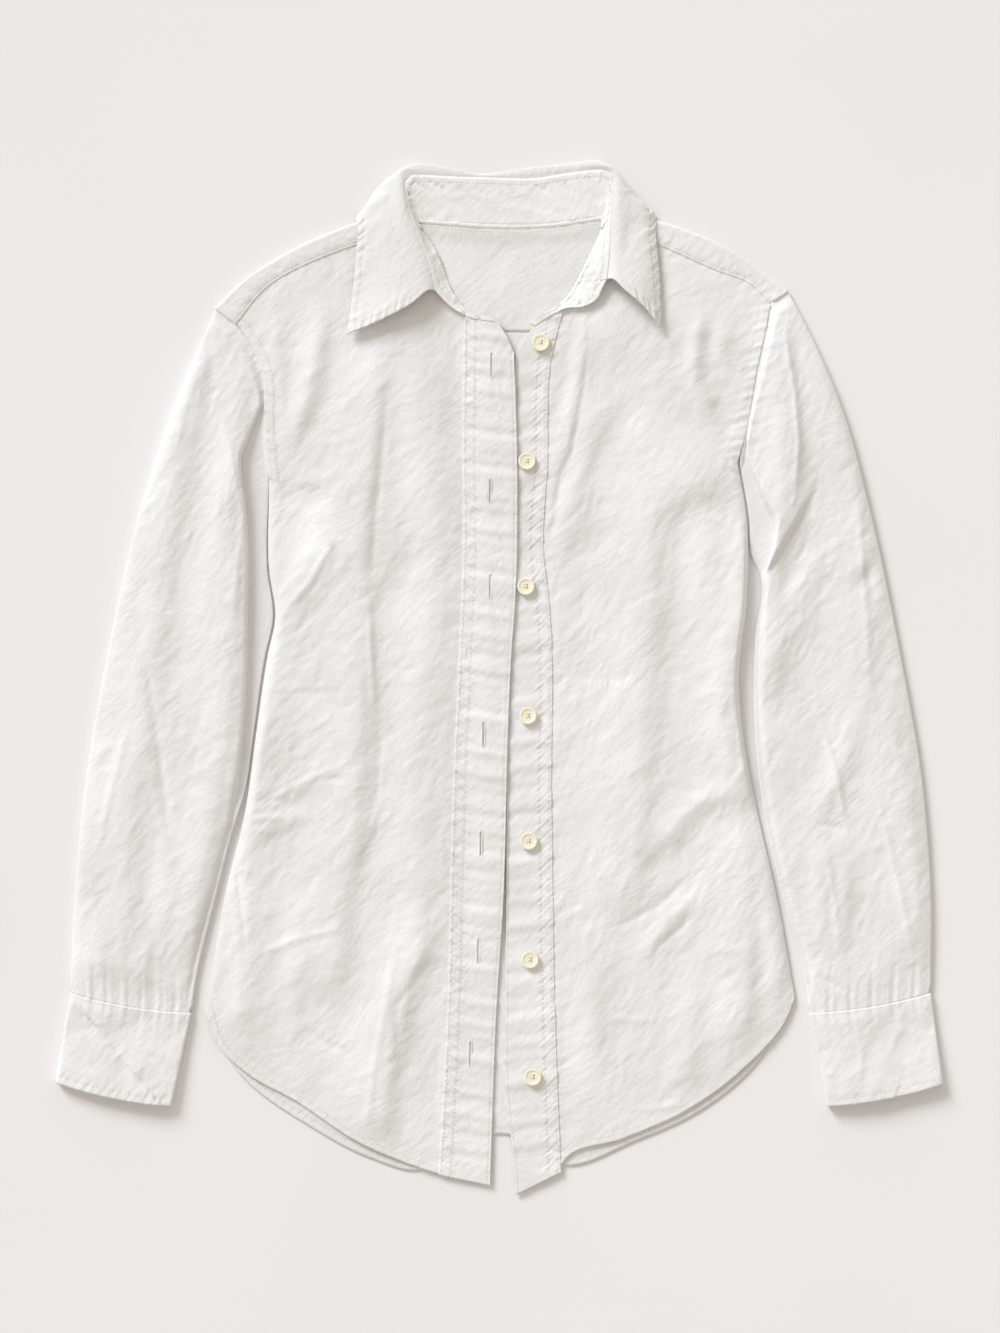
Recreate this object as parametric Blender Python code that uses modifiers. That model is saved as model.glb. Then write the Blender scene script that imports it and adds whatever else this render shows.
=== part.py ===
# Crumpled long-sleeved shirt, laid open on its back on a flat surface.
# Sizes and places are in millimetres: x to the right, y towards the collar, z up from the surface.
# Left and right are the wearer's, so the right front lies at -x.
import math

import bmesh
import bpy
import numpy as np
from mathutils import Vector

MM = 0.001
NAME = "crumpled_shirt"

# Walls and gaps
CLOTH = 1.2  # one layer, as thick as a puckered, crinkled layer stands
BAND = 1.8  # two layers and their turnings: collar, stand, cuffs and front bands
SEAM = 0.4  # between two pieces at a seam
LAYER = 0.3  # between one layer and the next above it
BACK_TOP = CLOTH + LAYER
OVER_BAND = BAND + LAYER + 0.2  # extra height of the right band where it lies on the left one
RISE = 1.0  # how far the fronts stand off the back where no fold lies
EDGE_ROLL = 11  # how far in from a side edge a front reaches its full height
HEM_FALL = 30  # the same from the hem, where it keeps HEM_SHARE of its height
HEM_SHARE = 0.35

# Yoke, sleeves, cuffs and collar
YOKE_TURN = 2.1  # radius of the shoulder fold, outside
NECK_LIP = math.radians(75)  # how far the yoke's edge turns up along the neck
LIP_RISE = 0.8
FRONT_TOP = 338  # below this the collar leaf lies over the fronts
TUBE_EDGE = 3.6  # height of a flattened sleeve along its folded edges
CUFF_EDGE = 4.4
CUFF_SWELL = 1.6  # how much higher a cuff is along its middle
EDGE_RUN = 1.6  # how far in from a tube's folded edge its top and underside begin
SLEEVE_RISE = 2.0  # how far a sleeve's top stands over its edges where no fold lies
SLEEVE_ROLL = 13  # how far in from its outer edge it reaches that height
SLEEVE_STEP = 2.6  # height of the step where the top layer folds under
STEP_RUN = 1.6
STEP_ROLL = 9
TOP_SHARES = [i / 11 for i in range(12)]
BOTTOM_SHARES = [1.0, 0.75, 0.5, 0.25, 0.0]
TERRACE_CELLS = 3  # cells across the lower layer beyond the step
CUFF_TOP_SHARES = [i / 7 for i in range(8)]
CUFF_BOTTOM_SHARES = [1.0, 0.5, 0.0]

# Buttons
BUTTON_RADIUS = 6.4
BUTTON_HEIGHT = 2.4
BUTTON_RIM = 1.3  # width of the raised rim
BUTTON_DISH = 0.7  # depth of the dished middle
HOLE_RADIUS = 0.9
HOLE_OFFSET = 1.5

# Outline of each seam and edge from above, as (x, y)
OUTLINES = {
    "right_side": [
        (-221, -249), (-204, -153), (-192, -104), (-183, -42), (-174, 18), (-168.5, 45),
        (-173, 82), (-173, 147),
    ],
    "right_armhole": [(-173, 147), (-177, 191), (-178, 227), (-189, 253), (-199, 266)],
    "right_hem": [
        (-221, -249), (-212, -275), (-191, -296), (-153, -318), (-110, -347), (-61, -368),
        (-45, -373),
    ],
    "right_yoke_seam": [(-199, 266), (-177, 293), (-131, 318), (-106, 327), (-68, 339.5)],
    "right_neckline": [(-68, 339.5), (-48, 317), (-38, 290), (-26, 273)],
    "right_band_seam": [
        (-45, -373), (-39, -264), (-34, -79), (-30, 13), (-27, 83), (-27, 198), (-26, 273),
    ],
    "right_band_edge": [
        (-7, -381), (-2, -247), (3, -166), (7, -25), (9, 17), (12, 59), (13.5, 126), (13, 183),
        (11, 244),
    ],
    "right_band_top": [(-25.5, 272.5), (-3, 269), (5, 258), (11, 244)],
    "left_side": [
        (222, -239), (209, -166), (194, -100), (185, -55), (180, 0), (186, 59), (187, 88),
        (186, 118), (179, 162),
    ],
    "left_armhole": [(179, 162), (185, 183), (194, 233), (200, 261), (204, 282)],
    "left_hem": [(46, -371), (52, -361), (94, -346), (141, -325), (183, -294), (216, -255), (222, -239)],
    "left_yoke_seam": [(81, 344), (119, 327), (164, 307), (189, 297), (204, 282)],
    "left_neckline": [(48, 277), (60, 296), (67, 310), (75, 328), (81, 344)],
    "left_band_seam": [
        (46, -371), (42, -267), (39, -92), (37, 59), (33, 93), (36, 162), (39, 241), (48, 277),
    ],
    "left_band_edge": [
        (12.5, -388), (11, -360), (7, -333), (5, -216), (5, -150), (6, 0), (8, 120), (12, 243),
    ],
    "left_band_top": [(12, 243), (23, 261), (41, 277), (47.5, 276.5)],
    "back_hem": [
        (-221, -249), (-198, -294), (-142, -337), (-96, -361), (-61, -370), (-34, -358),
        (-6, -343), (12, -344), (47, -366), (102, -348), (153, -324), (193, -290), (222, -239),
    ],
    "right_sleeve_outer": [
        (-215.4, 277), (-243, 209), (-270, 126), (-292, 29), (-312, -88), (-321, -205), (-322, -235),
    ],
    "right_sleeve_inner": [
        (-175.5, 147), (-174.8, 82), (-170, 45), (-176, 16), (-184.5, -42),
        (-190, -80), (-203, -125), (-213, -165), (-228, -229), (-231, -250),
    ],
    "right_sleeve_fold": [
        (-184, 214), (-192, 186), (-194, 164), (-190, 125), (-189, 40), (-192, -32),
        (-198, -87), (-206, -128), (-217, -165), (-232, -229), (-235, -250),
    ],
    "left_sleeve_outer": [
        (219.2, 291), (234, 261), (258, 202), (279, 124), (302, 14), (316, -65), (324, -159),
        (324, -235),
    ],
    "left_sleeve_inner": [
        (183, 161.5), (188.7, 120), (190, 92), (196, 78), (192, 30),
        (191, -16), (195, -77), (211, -159), (230, -229), (232, -250),
    ],
    "left_sleeve_fold": [
        (186, 166), (200, 132), (207, 118), (206, 102), (200, 80), (197, 50),
        (195, -16), (199, -77), (215, -159), (234, -229), (236, -250),
    ],
    "right_shoulder": [(-214, 278), (-191, 300), (-168, 315), (-139, 330), (-105, 343), (-84, 349)],
    "left_shoulder": [(97, 350), (115, 345), (164, 327), (189, 312), (205, 300), (217, 291)],
    "right_cap_front": [
        (-215.4, 277), (-201, 266.5), (-190.5, 253), (-180, 227), (-178.5, 191), (-175.5, 147),
    ],
    "right_cap_back": [(-215.4, 277), (-208.5, 269), (-202, 259), (-189, 204), (-175.5, 147)],
    "left_cap_front": [(219.2, 291), (207, 282.5), (202, 261), (196, 233), (187.5, 190), (183, 161.5)],
    "left_cap_back": [(219.2, 291), (214, 276), (206.5, 260), (195, 212), (183, 161.5)],
    "neck_seam": [(-64, 342), (-37, 339.5), (0, 337), (40, 338), (79, 344)],
}


def table(columns, *rows):
    """A table as a list of rows, each a dictionary by column name."""
    names = columns.split()
    return [dict(zip(names, row)) for row in rows]


# Largest folds, as soft ridges and troughs from one end to the other
FOLDS = table(
    "x1 y1 x2 y2 width height",
    # right front
    (-155, 267, -163, 219, 6, -2.5),
    (-135, 282, -162, 193, 9, 4.0),
    (-121, 264, -145, 204, 8, -2.0),
    (-84, 227, -98, 59, 10, -3.5),
    (-98, 59, -88, -55, 9, -3.5),
    (-88, -55, -97, -130, 9, -2.5),
    (-112, 60, -106, -60, 9, 2.2),
    (-168, 150, -127, 132, 7, -3.0),
    (-132, 128, -162, 44, 10, 4.0),
    (-157, 80, -162, -10, 9, 4.5),
    (-165, -10, -206, -240, 9, 4.5),
    (-188, -97, -142, -71, 6, -3.5),
    (-142, -71, -122, -64, 6, -2.5),
    (-189, -109, -158, -106, 6, 2.2),
    (-186, -212, -117, -187, 6, 2.0),
    (-65, -190, -88, -249, 12, 5.0),
    (-88, -249, -101, -340, 12, 4.5),
    (-45, -207, -76, -250, 8, -2.5),
    (-66, 150, -62, -60, 14, 2.5),
    # left front
    (70, 267, 60, 195, 8, -3.0),
    (58, 190, 44, 92, 7, -3.0),
    (89, 160, 92, 0, 12, 4.5),
    (92, 0, 88, -189, 12, 4.5),
    (124, 70, 130, -60, 11, -3.0),
    (130, -60, 127, -170, 11, -2.5),
    (154, 40, 156, -75, 9, 3.0),
    (162, 262, 170, 185, 9, -3.0),
    (118, 270, 112, 120, 14, 3.0),
    (190, -97, 143, -92, 6, -3.0),
    (184, -84, 135, -144, 7, 2.2),
    (146, -145, 86, -188, 6, 2.0),
    (146, -176, 113, -215, 6, -2.0),
    (172, -20, 180, -70, 6, -2.5),
    (196, -170, 196, -240, 10, 2.5),
    (120, -230, 150, -300, 12, 2.5),
    # right sleeve
    (-206, 190, -216, 110, 12, 4.0),
    (-214, 110, -222, 20, 12, 4.0),
    (-222, 20, -238, -90, 12, 3.0),
    (-216, 225, -248, 120, 8, -2.5),
    (-290, -30, -300, -140, 12, 3.5),
    (-254, 40, -268, -120, 10, -3.0),
    (-240, -150, -262, -215, 8, 2.5),
    (-282, -160, -290, -222, 7, -2.0),
    # left sleeve
    (212, 270, 217, 205, 7, 4.0),
    (217, 205, 214, 130, 8, 4.0),
    (230, 240, 232, 130, 7, -3.0),
    (268, 140, 276, -10, 9, 3.5),
    (246, 110, 236, -20, 12, -3.0),
    (250, -35, 262, -110, 10, 3.5),
    (252, -122, 252, -200, 6, 2.5),
    (294, -85, 300, -215, 12, 3.0),
    (272, -120, 276, -190, 9, -2.5),
)

# Collar sections, from the right point round the back to the left point: where the leaf leaves the
# stand, the top of its roll, the middle of the leaf, where it turns under, and its edge
COLLAR = table(
    "stand_x stand_y stand_z roll_x roll_y roll_z leaf_x leaf_y leaf_z"
    " turn_x turn_y turn_z edge_x edge_y edge_z",
    (-47, 290, 11, -50, 291, 14, -64, 277, 13, -92, 263, 9, -114, 258, 6.6),
    (-51.5, 312, 11.5, -56, 311, 17, -72, 305, 15.5, -93, 295, 10, -110, 289, 6.8),
    (-59.5, 334, 11.5, -64, 333, 17, -78, 331, 15, -95, 326, 10, -107, 322, 6.8),
    (-66.5, 351, 11.5, -69, 351, 16, -82, 349, 14, -96, 344, 10, -106, 338, 7.0),
    (-69, 362, 11, -71, 363, 15, -83, 361, 13, -99, 354, 8, -106.5, 347.5, 2.8),
    (-69.5, 371, 10, -73, 374, 14, -82, 373, 12, -92, 367, 5, -86, 352, 0.0),
    (-66, 376, 9, -71, 381.5, 12.5, -75, 381, 10, -77, 377, 4, -68, 353, 0.0),
    (-56, 376.5, 8.5, -60, 383, 11.5, -61, 386, 9, -61, 384, 3, -56, 345, 0.0),
    (-37, 375.5, 8, -37, 379.5, 10.5, -37, 383, 8.5, -37, 380, 2, -38, 342, 0.0),
    (-10, 375, 8, -10, 376, 10, -10, 378.5, 8.5, -10, 375, 2, -10, 340.5, 0.0),
    (24, 374, 8, 24, 380, 10.5, 24, 383, 8.5, 24, 380, 2, 24, 340, 0.0),
    (52, 378, 9, 52, 383, 12, 52, 386, 9.5, 52, 383, 2, 50, 342, 0.0),
    (74, 380, 10, 73, 385, 14, 74, 388, 11, 75, 385, 3, 70, 348, 0.0),
    (83, 377, 11.5, 86, 381, 17, 89, 379, 14, 91, 374, 5, 84, 352, 0.0),
    (84, 365, 12.5, 89, 366, 19, 96, 365, 16, 104, 359, 7, 98, 352, 0.5),
    (83, 350, 13, 88, 351, 19.5, 98, 352, 17, 112, 350, 10, 116, 350, 3.6),
    (82, 334, 13, 88, 334, 19.5, 98, 333, 17, 112, 331, 10.5, 117.5, 331, 7.8),
    (81.5, 316, 13, 87, 315, 19, 97, 311, 16.5, 112, 305, 10.5, 120, 303, 6.8),
    (80, 299, 12, 84, 299, 16.5, 93, 291, 15, 110, 276, 10, 122, 260, 6.8),
)

# Collar stand sections, in the same order: its neck seam and its top
STAND = table(
    "neck_x neck_y neck_z top_x top_y top_z",
    (-25.0, 276, 5.0, -28, 273.2, 5.6),
    (-32, 285, 4.9, -38, 279.5, 7.5),
    (-37, 293, 4.9, -45.5, 289.5, 10.0),
    (-47, 318, 4.9, -50.5, 312, 10.8),
    (-56, 333, 4.8, -58.6, 333.5, 10.8),
    (-61.5, 342, 3.6, -65, 350, 10.6),
    (-58, 342.2, 2.2, -66.5, 364, 9.6),
    (-50, 341.2, 2.2, -62, 373.2, 8.4),
    (-37, 340.2, 2.2, -41, 374.6, 7.6),
    (-10, 338.2, 2.2, -11, 374.1, 7.6),
    (24, 338.0, 2.2, 24, 373.1, 7.6),
    (50, 340.2, 2.2, 52, 377.1, 8.4),
    (68, 343.2, 2.2, 76, 377.8, 9.8),
    (76.5, 344, 2.8, 82, 369, 11.2),
    (77, 338, 4.4, 82, 350, 12.2),
    (73, 328, 4.9, 81, 334, 12.2),
    (65, 310.5, 4.9, 80.4, 316, 12.2),
    (58, 297, 4.9, 78.8, 299.5, 11.0),
    (53, 289, 4.9, 74, 285, 9.0),
    (49, 284, 4.9, 63, 278.5, 7.0),
    (44, 280, 5.0, 50, 277.2, 5.6),
)

# Buttons on the left front band, from the neck to the hem
BUTTONS = table(
    "x y",
    (31, 252), (20.6, 163), (19.8, 69), (21.5, -28), (22, -122), (23, -211), (25, -299),
)


def curve_through(points):
    """A smooth curve through the points, as a function of the share of its length."""
    knots = np.array(points, float)
    steps = np.linalg.norm(np.diff(knots, axis=0), axis=1)
    at = np.concatenate([[0.0], np.cumsum(steps)]) / steps.sum()
    slopes = np.gradient(knots, at, axis=0)

    def place(share):
        share = min(max(share, 0.0), 1.0)
        i = min(int(np.searchsorted(at, share, side="right")) - 1, len(knots) - 2)
        width = at[i + 1] - at[i]
        s = (share - at[i]) / width
        return (
            (2 * s**3 - 3 * s**2 + 1) * knots[i]
            + (s**3 - 2 * s**2 + s) * width * slopes[i]
            + (3 * s**2 - 2 * s**3) * knots[i + 1]
            + (s**3 - s**2) * width * slopes[i + 1]
        )

    return place


EDGES = {name: curve_through(points) for name, points in OUTLINES.items()}


def joined(first, second, share_of_first):
    """Two edges end to end, with a sharp corner between them."""

    def place(share):
        if share < share_of_first:
            return first(share / share_of_first)
        return second((share - share_of_first) / (1 - share_of_first))

    return place


def patch(bottom, top, left, right):
    """The flat surface between four edges: bottom and top run to +x, left and right run up."""
    corners = bottom(0), bottom(1), top(0), top(1)

    def place(u, v):
        return (
            (1 - v) * bottom(u)
            + v * top(u)
            + (1 - u) * left(v)
            + u * right(v)
            - (1 - u) * (1 - v) * corners[0]
            - u * (1 - v) * corners[1]
            - (1 - u) * v * corners[2]
            - u * v * corners[3]
        )

    return place


def ease(value):
    """0 below 0, 1 above 1, smooth between."""
    value = min(max(value, 0.0), 1.0)
    return value * value * (3 - 2 * value)


def roundness(value):
    """0 at 0 and 1 from 1 on, steep at first, as a rolled edge is."""
    value = min(max(value, 0.0), 1.0)
    return math.sqrt(1 - (1 - value) ** 2)


def fold_height(x, y, base):
    """Height of the crumpled cloth at a place, above the layer under it."""
    total = base
    for fold in FOLDS:
        run_x = fold["x2"] - fold["x1"]
        run_y = fold["y2"] - fold["y1"]
        length = math.hypot(run_x, run_y)
        along = ((x - fold["x1"]) * run_x + (y - fold["y1"]) * run_y) / length
        over = max(-along, along - length, 0.0)
        away = ((x - fold["x1"]) * run_y - (y - fold["y1"]) * run_x) / length
        total += fold["height"] * math.exp(-(away**2 + over**2) / (2 * fold["width"] ** 2))
    return (total + math.sqrt(total * total + 1.0)) / 2


def nearest(edge, x, y, count=60):
    """Distance from a place to an edge."""
    return min(math.hypot(*(edge(i / count) - (x, y))) for i in range(count + 1))


def new_object(name, mesh, collection, material):
    data = bpy.data.meshes.new(name)
    mesh.to_mesh(data)
    mesh.free()
    data.materials.append(material)
    data.shade_smooth()
    obj = bpy.data.objects.new(name, data)
    collection.objects.link(obj)
    return obj


def shell(name, across, along, place, wall, side, material, tube=False):
    """A grid with each point put in place, closed round as a tube if asked, with a wall to one side."""
    mesh = bmesh.new()
    bmesh.ops.create_grid(mesh, x_segments=across, y_segments=along, size=0.5)
    for vertex in mesh.verts:
        column = round((vertex.co.x + 0.5) * across)
        row = round((vertex.co.y + 0.5) * along)
        vertex.co = Vector(place(column, row)) * MM
    if tube:
        bmesh.ops.remove_doubles(mesh, verts=mesh.verts, dist=0.01 * MM)
    obj = new_object(name, mesh, SHIRT, material)
    solidify = obj.modifiers.new("wall", "SOLIDIFY")
    solidify.thickness = wall * MM
    solidify.offset = side
    return obj


def line(start, end):
    a, b = np.array(start, float), np.array(end, float)
    return lambda share: a + (b - a) * share


def shifted(edge, x, y=0.0):
    return lambda share: edge(share) + (x, y)




def front_rise(x, y, side):
    """How far a front stands off the back: little along its hem, and nothing along its side edge."""
    rolled = roundness(nearest(EDGES[f"{side}_side"], x, y) / EDGE_ROLL)
    hem = HEM_SHARE + (1 - HEM_SHARE) * ease(nearest(EDGES[f"{side}_hem"], x, y) / HEM_FALL)
    return rolled * hem * fold_height(x, y, RISE)


def right_height(x, y):
    """Underside of the right front and its band, which rises to lie over the left band."""
    calm = 1 - 0.75 * ease((x + 45) / 25)
    over = ease((x + 32) / 26) * ease((y + 230) / 60)
    return BACK_TOP + calm * front_rise(x, y, "right") + OVER_BAND * over


def left_height(x, y):
    """Underside of the left front and its band, calm where the right band covers it."""
    calm = ease((x - 22) / 36)
    return BACK_TOP + calm * front_rise(x, y, "left")


def cloth_panel(name, columns, rows, place, height, wall):
    """A flat-cut piece from the patch, lying at the height of its underside."""

    def lay(column, row):
        x, y = place(column / columns, row / rows)
        return x, y, height(x, y)

    return shell(name, columns, rows, lay, wall, 1, COTTON)


def make_back():
    top_right, top_left = (-198.5, 261), (203, 261)
    side_share = 0.78  # the rest of each edge is its armhole
    place = patch(
        EDGES["back_hem"],
        line(top_right, top_left),
        joined(EDGES["right_side"], line((-173, 147), top_right), side_share),
        joined(EDGES["left_side"], line((179, 162), top_left), side_share),
    )
    cloth_panel("back", 22, 12, place, lambda x, y: 0.0, CLOTH)


def make_fronts():
    place = patch(
        EDGES["right_hem"],
        joined(EDGES["right_yoke_seam"], EDGES["right_neckline"], 0.64),
        joined(EDGES["right_side"], EDGES["right_armhole"], 0.76),
        EDGES["right_band_seam"],
    )
    cloth_panel("front_right", 22, 28, place, right_height, CLOTH)
    place = patch(
        EDGES["left_hem"],
        joined(EDGES["left_neckline"], EDGES["left_yoke_seam"], 0.37),
        EDGES["left_band_seam"],
        joined(EDGES["left_side"], EDGES["left_armhole"], 0.76),
    )
    cloth_panel("front_left", 22, 28, place, left_height, CLOTH)


def make_bands():
    seam = shifted(EDGES["right_band_seam"], SEAM)
    edge = EDGES["right_band_edge"]
    place = patch(line(seam(0), edge(0)), EDGES["right_band_top"], seam, edge)
    cloth_panel("placket_buttonhole", 4, 28, place, right_height, BAND)
    seam = shifted(EDGES["left_band_seam"], -SEAM)
    edge = EDGES["left_band_edge"]
    place = patch(line(edge(0), seam(0)), EDGES["left_band_top"], edge, seam)
    cloth_panel("placket_button", 4, 28, place, left_height, BAND)




def make_yoke():
    """One sheet from the back seam over each shoulder to the front seam, with a lip at the neck."""
    shoulder, neck = 7, 8  # stations along one shoulder and along the neck
    seam_right = shifted(EDGES["right_yoke_seam"], -SEAM, 3 * SEAM)
    seam_left = shifted(EDGES["left_yoke_seam"], SEAM, 3 * SEAM)
    stations = []
    for i in range(shoulder):
        share = i / (shoulder - 1)
        stations.append((EDGES["right_shoulder"](share), seam_right(share), math.pi, right_height))
    for i in range(neck):
        point = EDGES["neck_seam"](i / (neck - 1))
        stations.append((point, point, NECK_LIP, None))
    for i in range(shoulder):
        share = i / (shoulder - 1)
        stations.append((EDGES["left_shoulder"](share), seam_left(share), math.pi, left_height))
    flat, turn, front = 4, 4, 2  # cells across the back, round the fold and down the front
    back_seam = line((-198.5, 261 + SEAM), (203, 261 + SEAM))

    def lay(column, row):
        fold, seam, angle, height = stations[column]
        start = back_seam(column / (len(stations) - 1))
        way = (fold - start) / np.linalg.norm(fold - start)
        centre = fold - way * YOKE_TURN
        if row <= flat:
            return (*(start + (centre - start) * row / flat), 0.0)
        swung = angle * min((row - flat) / turn, 1.0)
        point = centre + way * YOKE_TURN * math.sin(swung)
        z = YOKE_TURN * (1 - math.cos(swung))
        past = (row - flat - turn) / front
        if past <= 0:
            return (*point, z)
        if height is None:
            return (*point, z + LIP_RISE * past)
        return (*(point + (seam - point) * past), z + (height(*seam) + CLOTH - z) * past)

    shell("yoke", len(stations) - 1, flat + turn + front, lay, CLOTH, 1, COTTON)


def between_rows(rows, names, share):
    """The named columns of a table, smoothly between its rows."""
    values = np.array([[row[name] for name in names] for row in rows], float)
    position = share * (len(rows) - 1)
    i = min(int(position), len(rows) - 2)
    s = position - i
    before, after = values[max(i - 1, 0)], values[min(i + 2, len(rows) - 1)]
    start, end = values[i], values[i + 1]
    return (
        (2 * s**3 - 3 * s**2 + 1) * start
        + (s**3 - 2 * s**2 + s) * (end - before) / 2
        + (3 * s**2 - 2 * s**3) * end
        + (s**3 - s**2) * (after - start) / 2
    )




def make_collar():
    columns, rows = 30, 9
    names = COLLAR[0].keys()

    def lay(column, row):
        section = between_rows(COLLAR, names, column / columns).reshape(-1, 3)
        x, y, z = curve_through(section)(row / rows)
        if y > FRONT_TOP:
            return x, y, max(z, 0.0)
        front = right_height if x < 0 else left_height
        return x, y, max(z, front(x, y) + CLOTH + BAND + 3 * LAYER)

    shell("collar", columns, rows, lay, BAND, -1, COTTON)


def make_stand():
    columns, rows = 30, 3
    names = STAND[0].keys()

    def lay(column, row):
        section = between_rows(STAND, names, column / columns).reshape(-1, 3)
        share = row / rows
        return tuple(section[0] + (section[1] - section[0]) * share)

    shell("collar_stand", columns, rows, lay, BAND, 1, COTTON)




def make_sleeve(name, side, front_armhole, back_armhole):
    """A flattened tube from the armhole to the cuff, with a step where its top layer folds under."""
    rows = 22
    outer, inner, fold = (EDGES[f"{name[7:]}_sleeve_{edge}"] for edge in ("outer", "inner", "fold"))
    fold_at = np.array([fold(i / 60) for i in range(61)])
    first_outer, first_inner = outer(0), inner(0)

    def spot(share, along, armhole=front_armhole):
        fade = max(1 - along / 0.3, 0.0) ** 2
        bow = armhole(share) - (first_outer + (first_inner - first_outer) * share)
        return outer(along) + (inner(along) - outer(along)) * share + bow * fade

    def fold_share(along):
        shares = [i / 100 for i in range(55, 98)]
        for share in shares:
            x, y = spot(share, along)
            if side * (x - np.interp(-y, -fold_at[:, 1], fold_at[:, 0])) < 0:
                return share
        return shares[-1]

    count = len(TOP_SHARES) + len(BOTTOM_SHARES) + 2
    upper_cells = len(TOP_SHARES) - TERRACE_CELLS - 1

    def lay(column, row):
        along = row / rows
        width = float(np.linalg.norm(inner(along) - outer(along)))
        step = fold_share(along)
        place_in_ring = column % count if side > 0 else (-column) % count
        edge = EDGE_RUN / width
        if place_in_ring == 0:
            return (*spot(0.0, along), TUBE_EDGE / 2)
        if place_in_ring == len(TOP_SHARES) + 1:
            return (*spot(1.0, along), TUBE_EDGE / 2)
        if place_in_ring > len(TOP_SHARES) + 1:
            share = BOTTOM_SHARES[place_in_ring - len(TOP_SHARES) - 2]
            return (*spot(edge + (1 - 2 * edge) * share, along, back_armhole), 0.0)
        k = place_in_ring - 1
        last_upper = min(step, 1 - edge - 2 * STEP_RUN / width)
        if k <= upper_cells:
            share = edge + (last_upper - edge) * (k / upper_cells)
        else:
            start = last_upper + STEP_RUN / width
            share = start + (1 - edge - start) * (k - upper_cells - 1) / (TERRACE_CELLS - 1)
        x, y = spot(share, along)
        if k > upper_cells:
            return x, y, TUBE_EDGE
        rise = fold_height(x, y, SLEEVE_RISE) * roundness(share * width / SLEEVE_ROLL)
        over = SLEEVE_STEP * ease(along / 0.12) * ease((1 - along) / 0.12) * ease((share - 0.3) / 0.3)
        near_fold = 0.25 + 0.75 * roundness((last_upper - share) * width / STEP_ROLL)
        return x, y, TUBE_EDGE + over * near_fold + rise * near_fold

    shell(name, count, rows, lay, CLOTH, -1, COTTON, tube=True)


CUFFS = table(
    "name side top_outer top_inner low_outer low_inner sag",
    ("cuff_right", -1, (-322, -236), (-231, -251), (-333, -303), (-246, -321), 3.0),
    ("cuff_left", 1, (324, -236), (232, -251), (333, -304), (246, -321), 3.0),
)


def make_cuff(row):
    """A flattened tube of two layers, a little fuller along its middle."""
    rows = 3
    top, bottom = CUFF_TOP_SHARES, CUFF_BOTTOM_SHARES
    count = len(top) + len(bottom) + 2
    outer = line(row["top_outer"], row["low_outer"])
    inner = line(row["top_inner"], row["low_inner"])

    def lay(column, i):
        along = i / rows
        width = float(np.linalg.norm(inner(along) - outer(along)))
        k = column % count if row["side"] > 0 else (-column) % count
        edge = EDGE_RUN / width

        def spot(share):
            x, y = outer(along) + (inner(along) - outer(along)) * share
            return x, y - 4 * row["sag"] * share * (1 - share)

        if k == 0:
            return (*spot(0.0), CUFF_EDGE / 2)
        if k == len(top) + 1:
            return (*spot(1.0), CUFF_EDGE / 2)
        if k > len(top) + 1:
            return (*spot(edge + (1 - 2 * edge) * bottom[k - len(top) - 2]), 0.0)
        share = edge + (1 - 2 * edge) * top[k - 1]
        return (*spot(share), CUFF_EDGE + CUFF_SWELL * roundness(4 * share * (1 - share)))

    shell(row["name"], count, rows, lay, BAND, -1, COTTON, tube=True)


def make_button(number, x, y):
    """A turned disc with a raised rim and four sewing holes."""
    profile = [
        (0.0, BUTTON_HEIGHT - BUTTON_DISH),
        (BUTTON_RADIUS - BUTTON_RIM - 0.8, BUTTON_HEIGHT - BUTTON_DISH),
        (BUTTON_RADIUS - BUTTON_RIM, BUTTON_HEIGHT),
        (BUTTON_RADIUS - 0.5, BUTTON_HEIGHT),
        (BUTTON_RADIUS, BUTTON_HEIGHT - 0.6),
        (BUTTON_RADIUS, 0.7),
        (BUTTON_RADIUS - 0.9, 0.0),
        (0.0, 0.0),
    ]
    mesh = bmesh.new()
    points = [mesh.verts.new((r * MM, 0, z * MM)) for r, z in profile]
    for first, second in zip(points, points[1:]):
        mesh.edges.new((first, second))
    rim = [math.radians(angle) for angle in range(0, 360, 30)]
    seat = max(left_height(x + BUTTON_RADIUS * math.cos(a), y + BUTTON_RADIUS * math.sin(a)) for a in rim)
    obj = new_object(f"button_{number}", mesh, SHIRT, BUTTON)
    obj.location = Vector((x, y, seat + BAND + LAYER)) * MM
    screw = obj.modifiers.new("turned", "SCREW")
    screw.steps = screw.render_steps = 12
    screw.use_merge_vertices = True
    screw.merge_threshold = 0.01 * MM
    holes = bmesh.new()
    for quarter in range(4):
        angle = math.radians(45 + 90 * quarter)
        made = bmesh.ops.create_cone(
            holes,
            cap_ends=True,
            segments=4,
            radius1=HOLE_RADIUS * MM,
            radius2=HOLE_RADIUS * MM,
            depth=3 * BUTTON_HEIGHT * MM,
        )
        away = Vector((math.cos(angle), math.sin(angle), 0)) * HOLE_OFFSET * MM
        bmesh.ops.translate(holes, verts=made["verts"], vec=away)
    cutter = new_object(f"button_{number}_holes", holes, CUTTERS, BUTTON)
    cutter.location = obj.location
    cutter.hide_render = True
    cutter.display_type = "WIRE"
    drill = obj.modifiers.new("sewing holes", "BOOLEAN")
    drill.object = cutter
    drill.operation = "DIFFERENCE"


def principled(name, color, roughness):
    material = bpy.data.materials.new(name)
    material.use_nodes = True
    shader = material.node_tree.nodes["Principled BSDF"]
    shader.inputs["Base Color"].default_value = (*color, 1)
    shader.inputs["Roughness"].default_value = roughness
    shader.inputs["Metallic"].default_value = 0.0
    return material


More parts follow.
